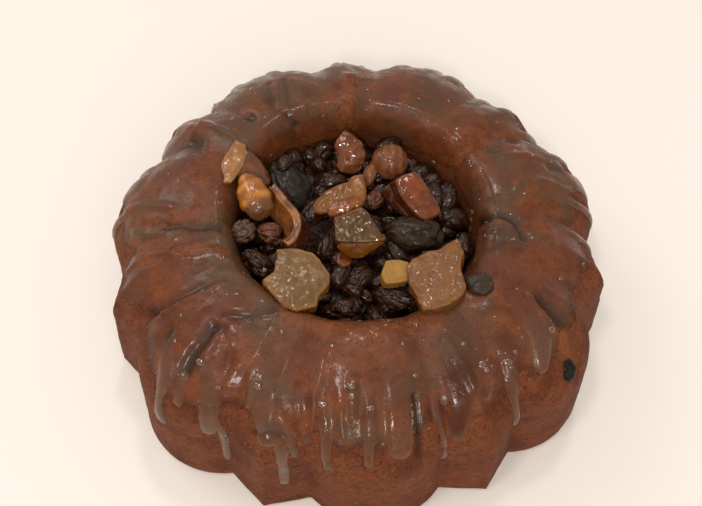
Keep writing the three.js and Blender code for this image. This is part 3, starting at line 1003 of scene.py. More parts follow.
@dataclass
class Glaze(RingPiece):
    """The rum glaze: a thin closed shell whose outer side stands proud of the crust where there is glaze."""

    name: str = "rum_glaze"
    ring: FlutedRing = field(default_factory=FlutedRing)
    around: int = 576
    parts: dict[str, int] = field(
        default_factory=lambda: {"base": 1, "edge": 1, "wall": 36, "crown": 84, "mouth": 20, "hole": 4}
    )
    shell_depth: float = 2.2
    deepest: float = 0.9
    base_points: int = 2
    inner_step: int = 12

    def build(self, skin: CakeSkin) -> bpy.types.Object:
        """Models the glaze.

        Args:
            skin: The relief that it shares with the crust.

        Returns:
            The glaze.
        """
        form, normals, angle = self.grid()
        relief = skin.relief(form.reshape(-1, 3), angle)
        shape = form.shape[:2]
        lumps = relief.lumps.reshape(shape)
        thickness = relief.glaze.reshape(shape)
        shown = slice(self.base_points, -self.base_points - 1)
        outer = (form + normals * (lumps + np.maximum(thickness, -self.deepest))[..., None])[:, shown]
        inner = (form + normals * (lumps - self.shell_depth)[..., None])[:, shown][:, :: -self.inner_step]
        grid = np.concatenate((outer, inner, outer[:, :1]), axis=1)
        deep = np.zeros(inner.shape[:2])
        # Low in the hole the finish paints shade, where the glaze is also wet with syrup.
        soaked_and_shaded = skin.soaked_and_shaded(form.reshape(-1, 3))
        fields = {
            "thick": thickness,
            "groove_shade": relief.groove_shade,
            "crumb": relief.crumb,
            "soaked_and_shaded": soaked_and_shaded,
            "milk": np.maximum(relief.milk, 0),
            "clear": np.maximum(-relief.milk, 0),
        }
        painted = {}
        for name, values in fields.items():
            values = values.reshape(shape)[:, shown]
            painted[name] = np.concatenate((values, deep, values[:, :1]), axis=1)
        return self.wrapped(grid, painted)


@dataclass
class GlazeBeads:
    """Glossy beads of syrup that stand on the glaze, the first ones large. Millimetres."""

    ring: FlutedRing
    landing: Landing
    radius: tuple[float, float] = (0.4, 1.0)
    large: float = 1.9
    height_share: float = 0.36
    scattered: int = 80
    lowest: float = 40.0
    seed: int = 77

    def places(self) -> np.ndarray:
        """Returns where the beads stand: those that the photograph shows, then more all round."""
        shown = [self.landing.place(pixel) for pixel in (*LARGE_BEADS, *BEADS)]
        random = np.random.default_rng(self.seed)
        section = self.ring.section({"base": 1, "edge": 1, "wall": 8, "crown": 60, "mouth": 30, "hole": 1})
        usable = np.flatnonzero(section.height > self.lowest)
        for _ in range(self.scattered):
            angle = random.uniform(0, TURN)
            column = self.ring.surface(np.array([angle]), section)[0]
            shown.append(column[random.choice(usable)])
        return np.array(shown)

    def build(self, glaze: bpy.types.Object) -> bpy.types.Object:
        """Sets the beads on the glaze.

        Args:
            glaze: The finished glaze.

        Returns:
            The beads, one piece.
        """
        random = np.random.default_rng(self.seed + 1)
        ground = BVHTree.FromObject(glaze, bpy.context.evaluated_depsgraph_get())
        Bench.clear_selection()
        bpy.ops.mesh.primitive_ico_sphere_add(subdivisions=2, radius=1)
        master = Bench.started("bead")
        ball = Bench.points(master)
        beads = []
        for i, place in enumerate(self.places()):
            spot, normal, _, _ = ground.find_nearest(Vector(place) * MM)
            turn = np.array(normal.to_track_quat("Z", "Y").to_matrix())
            wide = random.uniform(*self.radius) * (self.large if i < len(LARGE_BEADS) else 1)
            size = np.array((wide, wide * random.uniform(0.6, 1.0), wide * self.height_share))
            copy = Bench.copied(master)
            Bench.move_points(copy, (ball * size * MM) @ turn.T + np.array(spot))
            beads.append(copy)
        bpy.data.objects.remove(master)
        piece = Bench.joined(beads, "glaze_beads")
        Bench.smooth(piece)
        return piece


# --- Finishes ---


def linear(colour: Triple) -> tuple[float, float, float, float]:
    """Returns a colour given as 0 to 255 as the linear one that a shader takes."""
    parts = [value / 255 for value in colour]
    parts = [part / 12.92 if part <= 0.04045 else ((part + 0.055) / 1.055) ** 2.4 for part in parts]
    return (parts[0], parts[1], parts[2], 1.0)


class Recipe:
    """Builds one node material, a step at a time."""

    def __init__(self, name: str) -> None:
        """Starts a material with the usual shader.

        Args:
            name: The material's name.
        """
        self.material = bpy.data.materials.new(name)
        self.material.use_nodes = True
        self.nodes = self.material.node_tree.nodes
        self.links = self.material.node_tree.links
        self.shader = next(node for node in self.nodes if node.type == "BSDF_PRINCIPLED")
        self.place = self.nodes.new("ShaderNodeTexCoord").outputs["Object"]

    def set(self, **settings: object) -> None:
        """Sets the shader's own sockets, named with _ for a space."""
        for key, value in settings.items():
            self._feed(self.shader.inputs[key.replace("_", " ")], value)

    def _feed(self, socket: bpy.types.NodeSocket, value: object) -> None:
        """Links a socket to another, or sets its value."""
        if isinstance(value, bpy.types.NodeSocket):
            self.links.new(value, socket)
        else:
            socket.default_value = value

    def attribute(self, name: str) -> bpy.types.NodeSocket:
        """Reads a number stored on the mesh."""
        node = self.nodes.new("ShaderNodeAttribute")
        node.attribute_name = name
        return node.outputs["Fac"]

    def turned(self, turn: Triple) -> bpy.types.NodeSocket:
        """Returns the object coordinates, turned by three angles in radians."""
        node = self.nodes.new("ShaderNodeMapping")
        node.inputs["Rotation"].default_value = turn
        self.links.new(self.place, node.inputs["Vector"])
        return node.outputs["Vector"]

    def noise(
        self, pitch: float, detail: float = 2.0, rough: float = 0.5, place: object = None
    ) -> bpy.types.NodeSocket:
        """Returns noise from 0 to 1.

        Args:
            pitch: The size of its bumps, in millimetres.
            detail: How many finer layers it has.
            rough: How strong they are.
            place: Where it is read, or None for the object coordinates.
        """
        node = self.nodes.new("ShaderNodeTexNoise")
        node.inputs["Scale"].default_value = 1 / (pitch * MM)
        node.inputs["Detail"].default_value = detail
        node.inputs["Roughness"].default_value = rough
        self.links.new(place or self.place, node.inputs["Vector"])
        return node.outputs["Fac"]

    def cells(self, pitch: float) -> bpy.types.NodeSocket:
        """Returns the distance to the nearest of many scattered points, 0 at a point."""
        node = self.nodes.new("ShaderNodeTexVoronoi")
        node.inputs["Scale"].default_value = 1 / (pitch * MM)
        self.links.new(self.place, node.inputs["Vector"])
        return node.outputs["Distance"]

    def grade(
        self, value: object, low: float, high: float, to: tuple[float, float] = (0, 1)
    ) -> bpy.types.NodeSocket:
        """Returns a smooth step of a value.

        Args:
            value: What is graded.
            low: Where the step starts.
            high: Where it ends.
            to: The numbers before and after it.
        """
        node = self.nodes.new("ShaderNodeMapRange")
        node.interpolation_type = "SMOOTHSTEP"
        sockets = ("Value", "From Min", "From Max", "To Min", "To Max")
        for socket, number in zip(sockets, (value, low, high, *to)):
            self._feed(node.inputs[socket], number)
        return node.outputs["Result"]

    def sum(self, operation: str, first: object, second: object) -> bpy.types.NodeSocket:
        """Returns one arithmetic step on two numbers."""
        node = self.nodes.new("ShaderNodeMath")
        node.operation = operation
        self._feed(node.inputs[0], first)
        self._feed(node.inputs[1], second)
        return node.outputs["Value"]

    def blend(self, share: object, first: object, second: object) -> bpy.types.NodeSocket:
        """Returns a mix of two colours, each a socket or 0 to 255."""
        node = self.nodes.new("ShaderNodeMix")
        node.data_type = "RGBA"
        self._feed(node.inputs[0], share)
        for socket, colour in ((node.inputs[6], first), (node.inputs[7], second)):
            self._feed(socket, colour if isinstance(colour, bpy.types.NodeSocket) else linear(colour))
        return node.outputs[2]

    def overlaid(self, colour: object, name: str, share: float, overlay: object) -> bpy.types.NodeSocket:
        """Returns a colour with another laid over it where a number stored on the mesh is high.

        Args:
            colour: The colour without it.
            name: The stored number's name.
            share: How strong the overlay is where the number is 1.
            overlay: The colour laid over, in some uses painted shade or light.
        """
        return self.blend(self.sum("MULTIPLY", self.attribute(name), share), colour, overlay)

    def bump(self, height: object, depth: float, under: object = None) -> bpy.types.NodeSocket:
        """Returns a normal that a height bends.

        Args:
            height: The height, 0 to 1.
            depth: How deep 1 is, in millimetres.
            under: A normal that this one adds to, or None.
        """
        node = self.nodes.new("ShaderNodeBump")
        node.inputs["Distance"].default_value = depth * MM
        self.links.new(height, node.inputs["Height"])
        if under is not None:
            self.links.new(under, node.inputs["Normal"])
        return node.outputs["Normal"]


@dataclass(frozen=True)
class CrustFinish:
    """Dark spongy crust with fine pores, moist from the glaze, with painted shade in its grooves and low in
    the hole.
    """

    main: Triple = (122, 68, 41)
    dark: Triple = (94, 49, 32)
    warm: Triple = (146, 85, 48)
    pore: Triple = (56, 30, 20)
    # Painted shade in the grooves.
    groove_shade: Triple = (46, 32, 22)
    crumb: Triple = (140, 84, 50)
    # Painted shade low in the hole.
    soaked_and_shaded: Triple = (76, 34, 18)

    def material(self) -> bpy.types.Material:
        """Returns the node material."""
        mix = Recipe("baked_crust")
        colour = mix.blend(mix.grade(mix.noise(12, 4, 0.6), 0.34, 0.6), self.dark, self.main)
        colour = mix.blend(mix.grade(mix.noise(1.1, 4, 0.75), 0.36, 0.58, (0.6, 0)), colour, self.dark)
        colour = mix.blend(mix.grade(mix.noise(2.0, 4, 0.75), 0.5, 0.72, (0, 0.6)), colour, self.warm)
        colour = mix.overlaid(colour, "crumb", 0.6, self.crumb)
        small = mix.grade(mix.cells(0.95), 0.1, 0.5, (1, 0))
        small = mix.sum("MULTIPLY", small, mix.grade(mix.noise(2.4, 3, 0.65), 0.4, 0.62, (0.1, 0.9)))
        large = mix.grade(mix.cells(2.9), 0.08, 0.26, (0.9, 0))
        large = mix.sum("MULTIPLY", large, mix.grade(mix.noise(6, 2), 0.42, 0.58))
        pores = mix.sum("MAXIMUM", small, large)
        colour = mix.blend(mix.sum("MULTIPLY", pores, 0.55), colour, self.pore)
        # Painted shade in the grooves.
        colour = mix.overlaid(colour, "groove_shade", 0.85, self.groove_shade)
        # Painted shade low in the hole, where the crust is also wet with syrup.
        colour = mix.overlaid(colour, "soaked_and_shaded", 0.9, self.soaked_and_shaded)
        normal = mix.bump(mix.noise(1.5, 4, 0.75), 0.55)
        normal = mix.bump(mix.sum("SUBTRACT", 1.0, pores), 0.4, normal)
        mix.set(Base_Color=colour, Roughness=mix.grade(mix.noise(3, 2), 0.3, 0.7, (0.55, 0.8)), Normal=normal)
        mix.set(Specular_IOR_Level=0.12, Subsurface_Weight=0.08, Subsurface_Radius=(1, 0.4, 0.2))
        mix.set(Subsurface_Scale=0.0015)
        return mix.material


@dataclass(frozen=True)
class GlazeFinish:
    """Thin rum glaze: the crust shows through it, and it is milky and greyish where it lies thick."""

    thin: Triple = (124, 66, 33)
    deep: Triple = (90, 43, 21)
    milk: Triple = (98, 70, 54)
    grey: Triple = (88, 67, 46)
    plum: Triple = (88, 47, 36)
    orange: Triple = (144, 78, 34)
    # Painted shade in the grooves.
    groove_shade: Triple = (36, 28, 20)
    clear: Triple = (66, 27, 12)
    # Painted shade low in the hole.
    soaked_and_shaded: Triple = (84, 38, 16)
    pore: Triple = (62, 30, 16)

    def material(self) -> bpy.types.Material:
        """Returns the node material."""
        mix = Recipe("rum_glaze")
        thick = mix.attribute("thick")
        crumb = mix.attribute("crumb")
        aside = mix.turned((0.5, 0.9, 0.3))
        colour = mix.blend(mix.grade(mix.noise(9, 5, 0.65), 0.34, 0.64), self.deep, self.thin)
        colour = mix.blend(mix.grade(mix.noise(24, 3, 0.6), 0.4, 0.64, (0, 0.9)), colour, self.grey)
        reddish = mix.grade(mix.noise(18, 3, 0.6, aside), 0.46, 0.7, (0, 0.65))
        colour = mix.blend(reddish, colour, self.plum)
        warm = mix.grade(mix.noise(4.5, 4, 0.7, aside), 0.52, 0.72, (0, 0.55))
        colour = mix.blend(warm, colour, self.orange)
        crumbly = mix.sum("MULTIPLY", crumb, mix.grade(mix.noise(2.2, 4, 0.7), 0.36, 0.62, (0.2, 0.85)))
        colour = mix.blend(crumbly, colour, self.orange)
        speckle = mix.grade(mix.noise(0.85, 3, 0.7), 0.36, 0.62, (0.38, 0))
        colour = mix.blend(speckle, colour, self.deep)
        # Painted shade low in the hole, where the glaze is also wet with syrup.
        colour = mix.blend(mix.attribute("soaked_and_shaded"), colour, self.soaked_and_shaded)
        streaks = mix.grade(mix.noise(5, 4, 0.65), 0.34, 0.66, (0.5, 1))
        colour = mix.blend(mix.sum("MULTIPLY", mix.attribute("milk"), streaks), colour, self.milk)
        colour = mix.blend(mix.attribute("clear"), colour, self.clear)
        dots = mix.grade(mix.cells(1.5), 0.08, 0.3, (1, 0))
        dots = mix.sum("MULTIPLY", dots, mix.grade(mix.noise(3, 3), 0.42, 0.6))
        colour = mix.blend(mix.sum("MULTIPLY", dots, 0.7), colour, self.pore)
        # Painted shade in the grooves.
        colour = mix.overlaid(colour, "groove_shade", 0.8, self.groove_shade)
        normal = mix.bump(mix.noise(5, 3, 0.55), 0.3)
        normal = mix.bump(mix.noise(1.3, 4, 0.65), 0.07, normal)
        syrup = mix.sum("MULTIPLY", mix.noise(4, 2, 0.5), mix.attribute("soaked_and_shaded"))
        normal = mix.bump(syrup, 1.2, normal)
        normal = mix.bump(mix.sum("SUBTRACT", 1.0, dots), 0.12, normal)
        wet = mix.grade(mix.noise(7, 4, 0.6), 0.42, 0.6, (0.5, 0.2))
        shine = mix.sum("MULTIPLY", wet, mix.grade(thick, 0.35, 0.8, (1, 0.6)))
        shine = mix.sum("ADD", shine, mix.sum("MULTIPLY", crumb, 0.2))
        shine = mix.sum("MULTIPLY", shine, mix.grade(mix.attribute("soaked_and_shaded"), 0, 1, (1, 0.5)))
        mix.set(Base_Color=colour, Roughness=shine, Normal=normal, Alpha=mix.grade(thick, -0.02, 0.16))
        mix.set(IOR=1.45, Specular_IOR_Level=0.4, Coat_Weight=0.12, Coat_Roughness=0.06, Coat_IOR=1.45)
        mix.set(Subsurface_Weight=0.12, Subsurface_Radius=(1, 0.45, 0.25), Subsurface_Scale=0.0015)
        return mix.material


@dataclass(frozen=True)
class BeadFinish:
    """Wet bead of syrup, the colour of what lies under it."""

    syrup: Triple = (96, 52, 26)
    pale: Triple = (108, 68, 42)

    def material(self) -> bpy.types.Material:
        """Returns the node material."""
        mix = Recipe("syrup_bead")
        colour = mix.blend(mix.grade(mix.noise(9, 3), 0.4, 0.65), self.syrup, self.pale)
        normal = mix.bump(mix.noise(1.4, 2, 0.5), 0.08)
        shine = mix.grade(mix.noise(5, 2), 0.4, 0.6, (0.06, 0.16))
        mix.set(Base_Color=colour, Roughness=shine, Normal=normal)
        mix.set(IOR=1.5, Specular_IOR_Level=1.0, Coat_Weight=1.0, Coat_Roughness=0.05, Coat_IOR=1.8)
        return mix.material


@dataclass(frozen=True)
class DriedFinish:
    """Skin of a dried fruit, wet with syrup, with painted shade in its folds."""

    name: str
    skin: Triple
    # Painted shade in the folds.
    fold_shade: Triple
    bloom: Triple
    bloom_share: float = 0.3
    roughness: float = 0.28
    glow: float = 0.1
    wet: float = 0.3

    def material(self) -> bpy.types.Material:
        """Returns the node material."""
        mix = Recipe(self.name)
        fold_shade = mix.attribute("fold_shade")
        # Painted shade: the fold colour fills the folds, the skin colour lies on the ridges.
        colour = mix.blend(mix.grade(fold_shade, 0.0, 0.7), self.fold_shade, self.skin)
        haze = mix.sum("MULTIPLY", mix.grade(mix.noise(2.6, 4, 0.6), 0.45, 0.7), self.bloom_share)
        colour = mix.blend(haze, colour, self.bloom)
        normal = mix.bump(mix.noise(1.5, 3, 0.6), 0.26)
        normal = mix.bump(mix.noise(0.5, 2, 0.5), 0.05, normal)
        shine = mix.grade(mix.noise(2.0, 3), 0.38, 0.62, (self.roughness * 0.6, self.roughness * 1.8))
        mix.set(Base_Color=colour, Roughness=shine, Normal=normal, Coat_Weight=self.wet, Coat_Roughness=0.1)
        mix.set(Specular_IOR_Level=0.3)
        mix.set(Subsurface_Weight=self.glow, Subsurface_Radius=(1, 0.35, 0.15), Subsurface_Scale=0.002)
        return mix.material


@dataclass(frozen=True)
class CandiedFinish:
    """Candied fruit or peel: cloudy glossy jelly, painted light on its rim, painted shade on a cut's sides.
    """

    name: str
    flesh: Triple
    deep: Triple
    rim: Triple
    side: Triple
    roughness: float = 0.25
    glow: float = 0.55
    clear: float = 0.3
    pale_share: float = 0.25
    rim_share: float = 0.75
    coat: float = 0.9
    edge_share: float = 0.5

    def material(self) -> bpy.types.Material:
        """Returns the node material."""
        mix = Recipe(self.name)
        colour = mix.blend(mix.grade(mix.noise(8, 2, 0.5), 0.34, 0.66), self.deep, self.flesh)
        pale = mix.grade(mix.noise(2.4, 2, 0.5), 0.42, 0.75, (0, self.pale_share))
        colour = mix.blend(pale, colour, self.rim)
        # The faces that don't face up take the side colour: painted shade on a cut.
        colour = mix.blend(mix.attribute("side"), colour, self.side)
        # Painted light: a glow along the lit rim, on rib crests and at the edges of a cut's top.
        lit = mix.sum("MULTIPLY", mix.attribute("rim"), mix.grade(mix.noise(6, 2), 0.38, 0.62, (0.15, 1)))
        colour = mix.blend(mix.sum("MULTIPLY", lit, self.rim_share), colour, self.rim)
        colour = mix.overlaid(colour, "edge", self.edge_share, self.side)
        normal = mix.bump(mix.noise(5.5, 2, 0.5), 0.8)
        glints = mix.bump(mix.noise(1.9, 2, 0.5), 0.3, normal)
        mix.set(Base_Color=colour, Roughness=self.roughness, Normal=normal, Coat_Normal=glints)
        mix.set(Coat_Weight=self.coat, Coat_Roughness=0.03)
        mix.set(Specular_IOR_Level=0.3)
        mix.set(Subsurface_Weight=self.glow, Subsurface_Radius=(1, 0.55, 0.2), Subsurface_Scale=0.006)
        mix.set(Transmission_Weight=self.clear, IOR=1.42)
        return mix.material


# --- Fruit ---


@dataclass(frozen=True)
class Lie:
    """A piece's node and slot, its centre in millimetres and its turns in degrees."""

    node: str
    place: Triple
    turn: Triple
    slot: str

    def matrix(self) -> Matrix:
        """Returns the move from the piece's own origin to its place, in millimetres."""
        turns = Euler([math.radians(angle) for angle in self.turn], "ZYX")
        return Matrix.LocRotScale(Vector(self.place), turns, None)


@dataclass
class Fruit:
    """A piece of fruit that dresses a node, with the name of its finish."""

    lie: Lie
    finish: str
    seed: int
    part: str = field(default="fruit", kw_only=True)

    def model(self) -> bpy.types.Object:
        """Models the piece round its own origin, in millimetres."""
        raise NotImplementedError

    def build(self, finish: bpy.types.Material) -> bpy.types.Object:
        """Models the piece, lays it in its place and dresses it.

        Args:
            finish: The finish's material.

        Returns:
            The finished piece.
        """
        piece = self.model()
        Bench.move_points(piece, moved(Bench.points(piece), self.lie.matrix()) * MM)
        Bench.smooth(piece)
        piece.name = piece.data.name = f"{self.lie.node}_{self.part}"
        Bench.dress(piece, finish)
        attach(piece, "root")
        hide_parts(self.lie.node)
        return piece


@dataclass
class DriedFruit(Fruit):
    """A whole fruit, such as a raisin, a prune or the candied orange: an egg whose skin has folds or ribs.

    The size is in millimetres. All else is measured on a ball of radius 1 that is then stretched to the size.
    The dark end is where along it the fruit starts to darken, and a number above 1 means that it doesn't.
    """

    size: Triple = (10, 7, 6)
    folds: float = 0.2
    pitch: float = 0.55
    detail: int = 5
    stretch: float = 0.45
    lump: float = 0.07
    fine_share: float = 0.16
    taper: float = 0.16
    regrowth: float = 0.32
    ribs: float = 0.0
    rib_height: float = 0.03
    rib_wander: float = 0.12
    dark_end: float = 2.0
    dark_fade: float = 0.45

    def model(self) -> bpy.types.Object:
        """Models the fruit from a ball."""
        Bench.clear_selection()
        bpy.ops.mesh.primitive_ico_sphere_add(subdivisions=self.detail, radius=1)
        piece = Bench.started("dried_fruit")
        ball = Bench.points(piece)
        grain = Grain(self.seed)
        drawn = ball * np.array((self.stretch, 1.0, 1.0))
        ribs = np.sin(self.ribs * math.pi * (ball[:, 0] + self.rib_wander * grain.smooth(ball, 0.9, 4)))
        crease = spread(grain.creases(drawn, self.pitch, 1), -0.1, 0.8)
        fine = grain.creases(drawn, self.pitch * 0.5, 3)
        radius = 1 - self.folds * (1 - crease) + self.lump * grain.smooth(ball, 1.1, 2)
        radius -= self.fine_share * self.folds * (1 - fine)
        radius += self.rib_height * ribs * (self.ribs > 0)
        taper = 1 + self.taper * ball[:, 0]
        ball = ball * radius[:, None] * (1 + self.regrowth * self.folds)
        ball[:, 1] *= taper
        Bench.move_points(piece, ball * np.array(self.size) / 2)
        # Painted shade in the folds and, on ribbed fruit, between the ribs; painted light on the rib crests.
        shade = np.where(self.ribs > 0, 0.5 + 0.5 * ribs, 1.0)
        Bench.paint(piece, "fold_shade", crease * (0.75 + 0.25 * fine) * shade)
        low_end = spread(ball[:, 0] / radius, self.dark_end, self.dark_end + self.dark_fade)
        Bench.paint(piece, "rim", np.where(self.ribs > 0, shade * (1 - low_end), 0.0))
        Bench.paint(piece, "side", low_end)
        return piece


class Cut(enum.Enum):
    """How round the edges of a candied piece are, in millimetres."""

    CRISP = 0.7
    SOFT = 1.1


@dataclass
class CandiedCut(Fruit):
    """A cut of candied fruit whose upper face has the outline that the photograph shows. Millimetres.

    The rim's side is the way, in the piece's own frame, that its painted lit rim faces, or zeros for all
    round.
    """

    FACING_UP = (0.35, 0.75)

    outline: tuple[Pixel, ...] = ()
    thickness: float = 8.0
    lean: float = 0.0
    cut: Cut = Cut.CRISP
    swell: float = 0.4
    pits: float = 0.2
    rim_width: float = 1.0
    growth: float = 0.35
    rim_side: tuple[float, float] = (0, 0)
    swell_width: float = 4.0
    edge_width: float = 3.5
    rim_wander: float = 0.5
    view: Viewpoint = field(default_factory=Viewpoint)

    def face(self) -> np.ndarray:
        """Returns the corners of the upper face, in the piece's own frame."""
        frame = self.lie.matrix()
        top = frame @ Vector((0, 0, self.thickness / 2))
        normal = frame.to_3x3() @ Vector((0, 0, 1))
        return np.array([frame.inverted() @ self.view.meet(pixel, top, normal) for pixel in self.outline])

    def model(self) -> bpy.types.Object:
        """Models the cut by extruding its face."""
        corners = self.face()
        middle = corners.mean(0)
        arms = corners - middle
        corners = middle + arms * (1 + self.growth / np.linalg.norm(arms, axis=1, keepdims=True))
        Bench.clear_selection()
        bpy.ops.mesh.primitive_circle_add(vertices=len(corners), radius=1, fill_type="NGON")
        piece = Bench.started("candied_cut")
        Bench.move_points(piece, corners)
        spread_out = 1 + self.lean / np.linalg.norm(corners - middle, axis=1).mean()
        bpy.ops.object.mode_set(mode="EDIT")
        bpy.ops.mesh.select_all(action="SELECT")
        bpy.ops.mesh.extrude_region_move(TRANSFORM_OT_translate={"value": (0, 0, -self.thickness)})
        bpy.ops.transform.resize(value=(spread_out, spread_out, 1), center_override=tuple(middle))
        bpy.ops.mesh.select_all(action="SELECT")
        bpy.ops.mesh.normals_make_consistent(inside=False)
        bpy.ops.mesh.bevel(offset=self.cut.value, segments=3, affect="EDGES")
        bpy.ops.object.mode_set(mode="OBJECT")
        candied_surface(piece, Grain(self.seed), self.pits)
        points, normals = Bench.points(piece), Bench.normals(piece)
        flat = points * np.array((1, 1, 0))
        closed = np.vstack((corners, corners[:1])) * np.array((1, 1, 0))
        inside = distance_to_line(flat, closed)[0]
        upper = spread(normals[:, 2], *self.FACING_UP)
        points[:, 2] += self.swell * upper * spread(inside, 0, self.swell_width)
        Bench.move_points(piece, points)
        inside = inside + self.rim_wander * Grain(self.seed).smooth(points, 2.5, 23)
        toward = (points - middle)[:, :2] @ np.array(self.rim_side)
        faced = spread(toward, 1, 5) if any(self.rim_side) else 1
        # Painted light along the rim and at the edges of the top face; painted shade on the faces that don't
        # face up.
        Bench.paint(piece, "rim", upper * faced * spread(inside, self.rim_width, 0.2))
        Bench.paint(piece, "side", 1 - upper)
        Bench.paint(piece, "edge", upper * spread(inside, self.edge_width, 0.5))
        return piece


@dataclass
class CandiedStrip(Fruit):
    """A strip of peel on edge, whose rim follows the line that the photograph shows. Millimetres."""

    rim: tuple[Pixel, ...] = ()
    rim_height: float = 61.0
    drop: float = 1.5
    depth: float = 9.0
    lean: float = 3.4
    inner_lean: float = 4.2
    flare: float = 1.2
    end_rise: float = 0.5
    thickness: float = 2.7
    pits: float = 0.34
    steps: int = 48
    rows: int = 10
    roundings: int = 3
    side_step: int = 4
    view: Viewpoint = field(default_factory=Viewpoint)

    def rim_line(self) -> np.ndarray:
        """Returns the rim as an even row of points in space."""
        count = len(self.rim)
        line = []
        for i, pixel in enumerate(self.rim):
            height = self.rim_height - self.drop * abs(2 * i / (count - 1) - 1) ** 2
            line.append(self.view.meet(pixel, Vector((0, 0, height)), Vector((0, 0, 1))))
        line = np.array(line)
        for _ in range(self.roundings):
            quarter = line[:-1] * 0.75 + line[1:] * 0.25
            three = line[:-1] * 0.25 + line[1:] * 0.75
            inner = np.stack((quarter, three), axis=1).reshape(-1, 3)
            line = np.vstack((line[:1], inner, line[-1:]))
        length = np.concatenate(([0], np.cumsum(np.linalg.norm(np.diff(line, axis=0), axis=1))))
        even = np.linspace(0, length[-1], self.steps + 1)
        return np.stack([np.interp(even, length, line[:, i]) for i in range(3)], axis=1)

    def model(self) -> bpy.types.Object:
        """Models the strip from two flat grids that hang from the rim and part as they go down."""
        line = self.rim_line()
        along = np.gradient(line, axis=0)
        out = np.stack((-along[:, 1], along[:, 0], np.zeros(len(line))), axis=1)
        out /= np.linalg.norm(out, axis=1, keepdims=True)
        frame = self.lie.matrix().inverted()
        sheets = []
        for lean in (self.lean, -self.inner_lean):
            sheet = Bench.sheet("peel_sheet", self.steps, self.rows)
            flat = Bench.points(sheet)
            column = np.rint(flat[:, 0] * self.steps).astype(int)
            down = flat[:, 1]
            ends = 1 - self.end_rise * np.abs(2 * flat[:, 0] - 1) ** 3
            world = line[column] + out[column] * (lean * down**self.flare)[:, None]
            world[:, 2] -= self.depth * down * ends
            Bench.move_points(sheet, moved(world, frame))
            Bench.modify(sheet, "SOLIDIFY", thickness=self.thickness, offset=0)
            Bench.tidy(sheet)
            sheets.append(sheet)
        piece = Bench.joined(sheets, "peel_strip")
        candied_surface(piece, Grain(self.seed), self.pits)
        points, normals = Bench.points(piece), Bench.normals(piece)
        world = moved(points, self.lie.matrix())
        facing = moved(normals, self.lie.matrix().to_3x3().to_4x4())
        posts, ways = line[:: self.side_step, :2], out[:: self.side_step]
        nearest = np.argmin(np.linalg.norm(world[:, None, :2] - posts[None], axis=2), axis=1)
        outward = np.sum(facing * ways[nearest], axis=1)
        away = distance_to_line(world, line)[0]
        # Painted light along the top edge; the outer face takes the side colour.
        Bench.paint(piece, "rim", spread(away, 0.75 * self.thickness, 0.45 * self.thickness))
        Bench.paint(piece, "side", spread(outward, -0.1, 0.4))
        return piece


def candied_surface(piece: bpy.types.Object, grain: Grain, pits: float, voxel: float = 0.36) -> None:
    """Gives a rough form even faces, soft edges, waves and small pits.

    Args:
        piece: The form, in millimetres round its own origin.
        grain: The noise to use.
        pits: Depth of the pits, in millimetres.
        voxel: Size of the new faces, in millimetres.
    """
    Bench.modify(piece, "REMESH", mode="VOXEL", voxel_size=voxel, adaptivity=0)
    Bench.modify(piece, "SMOOTH", factor=0.5, iterations=4)
    points, normals = Bench.points(piece), Bench.normals(piece)
    rough = grain.layered(points, 4.6, 3, 21)
    dents = spread(grain.smooth(points, 2.4, 22), 0.25, 0.75)
    Bench.move_points(piece, points + normals * (pits * 1.6 * rough - pits * dents)[:, None])


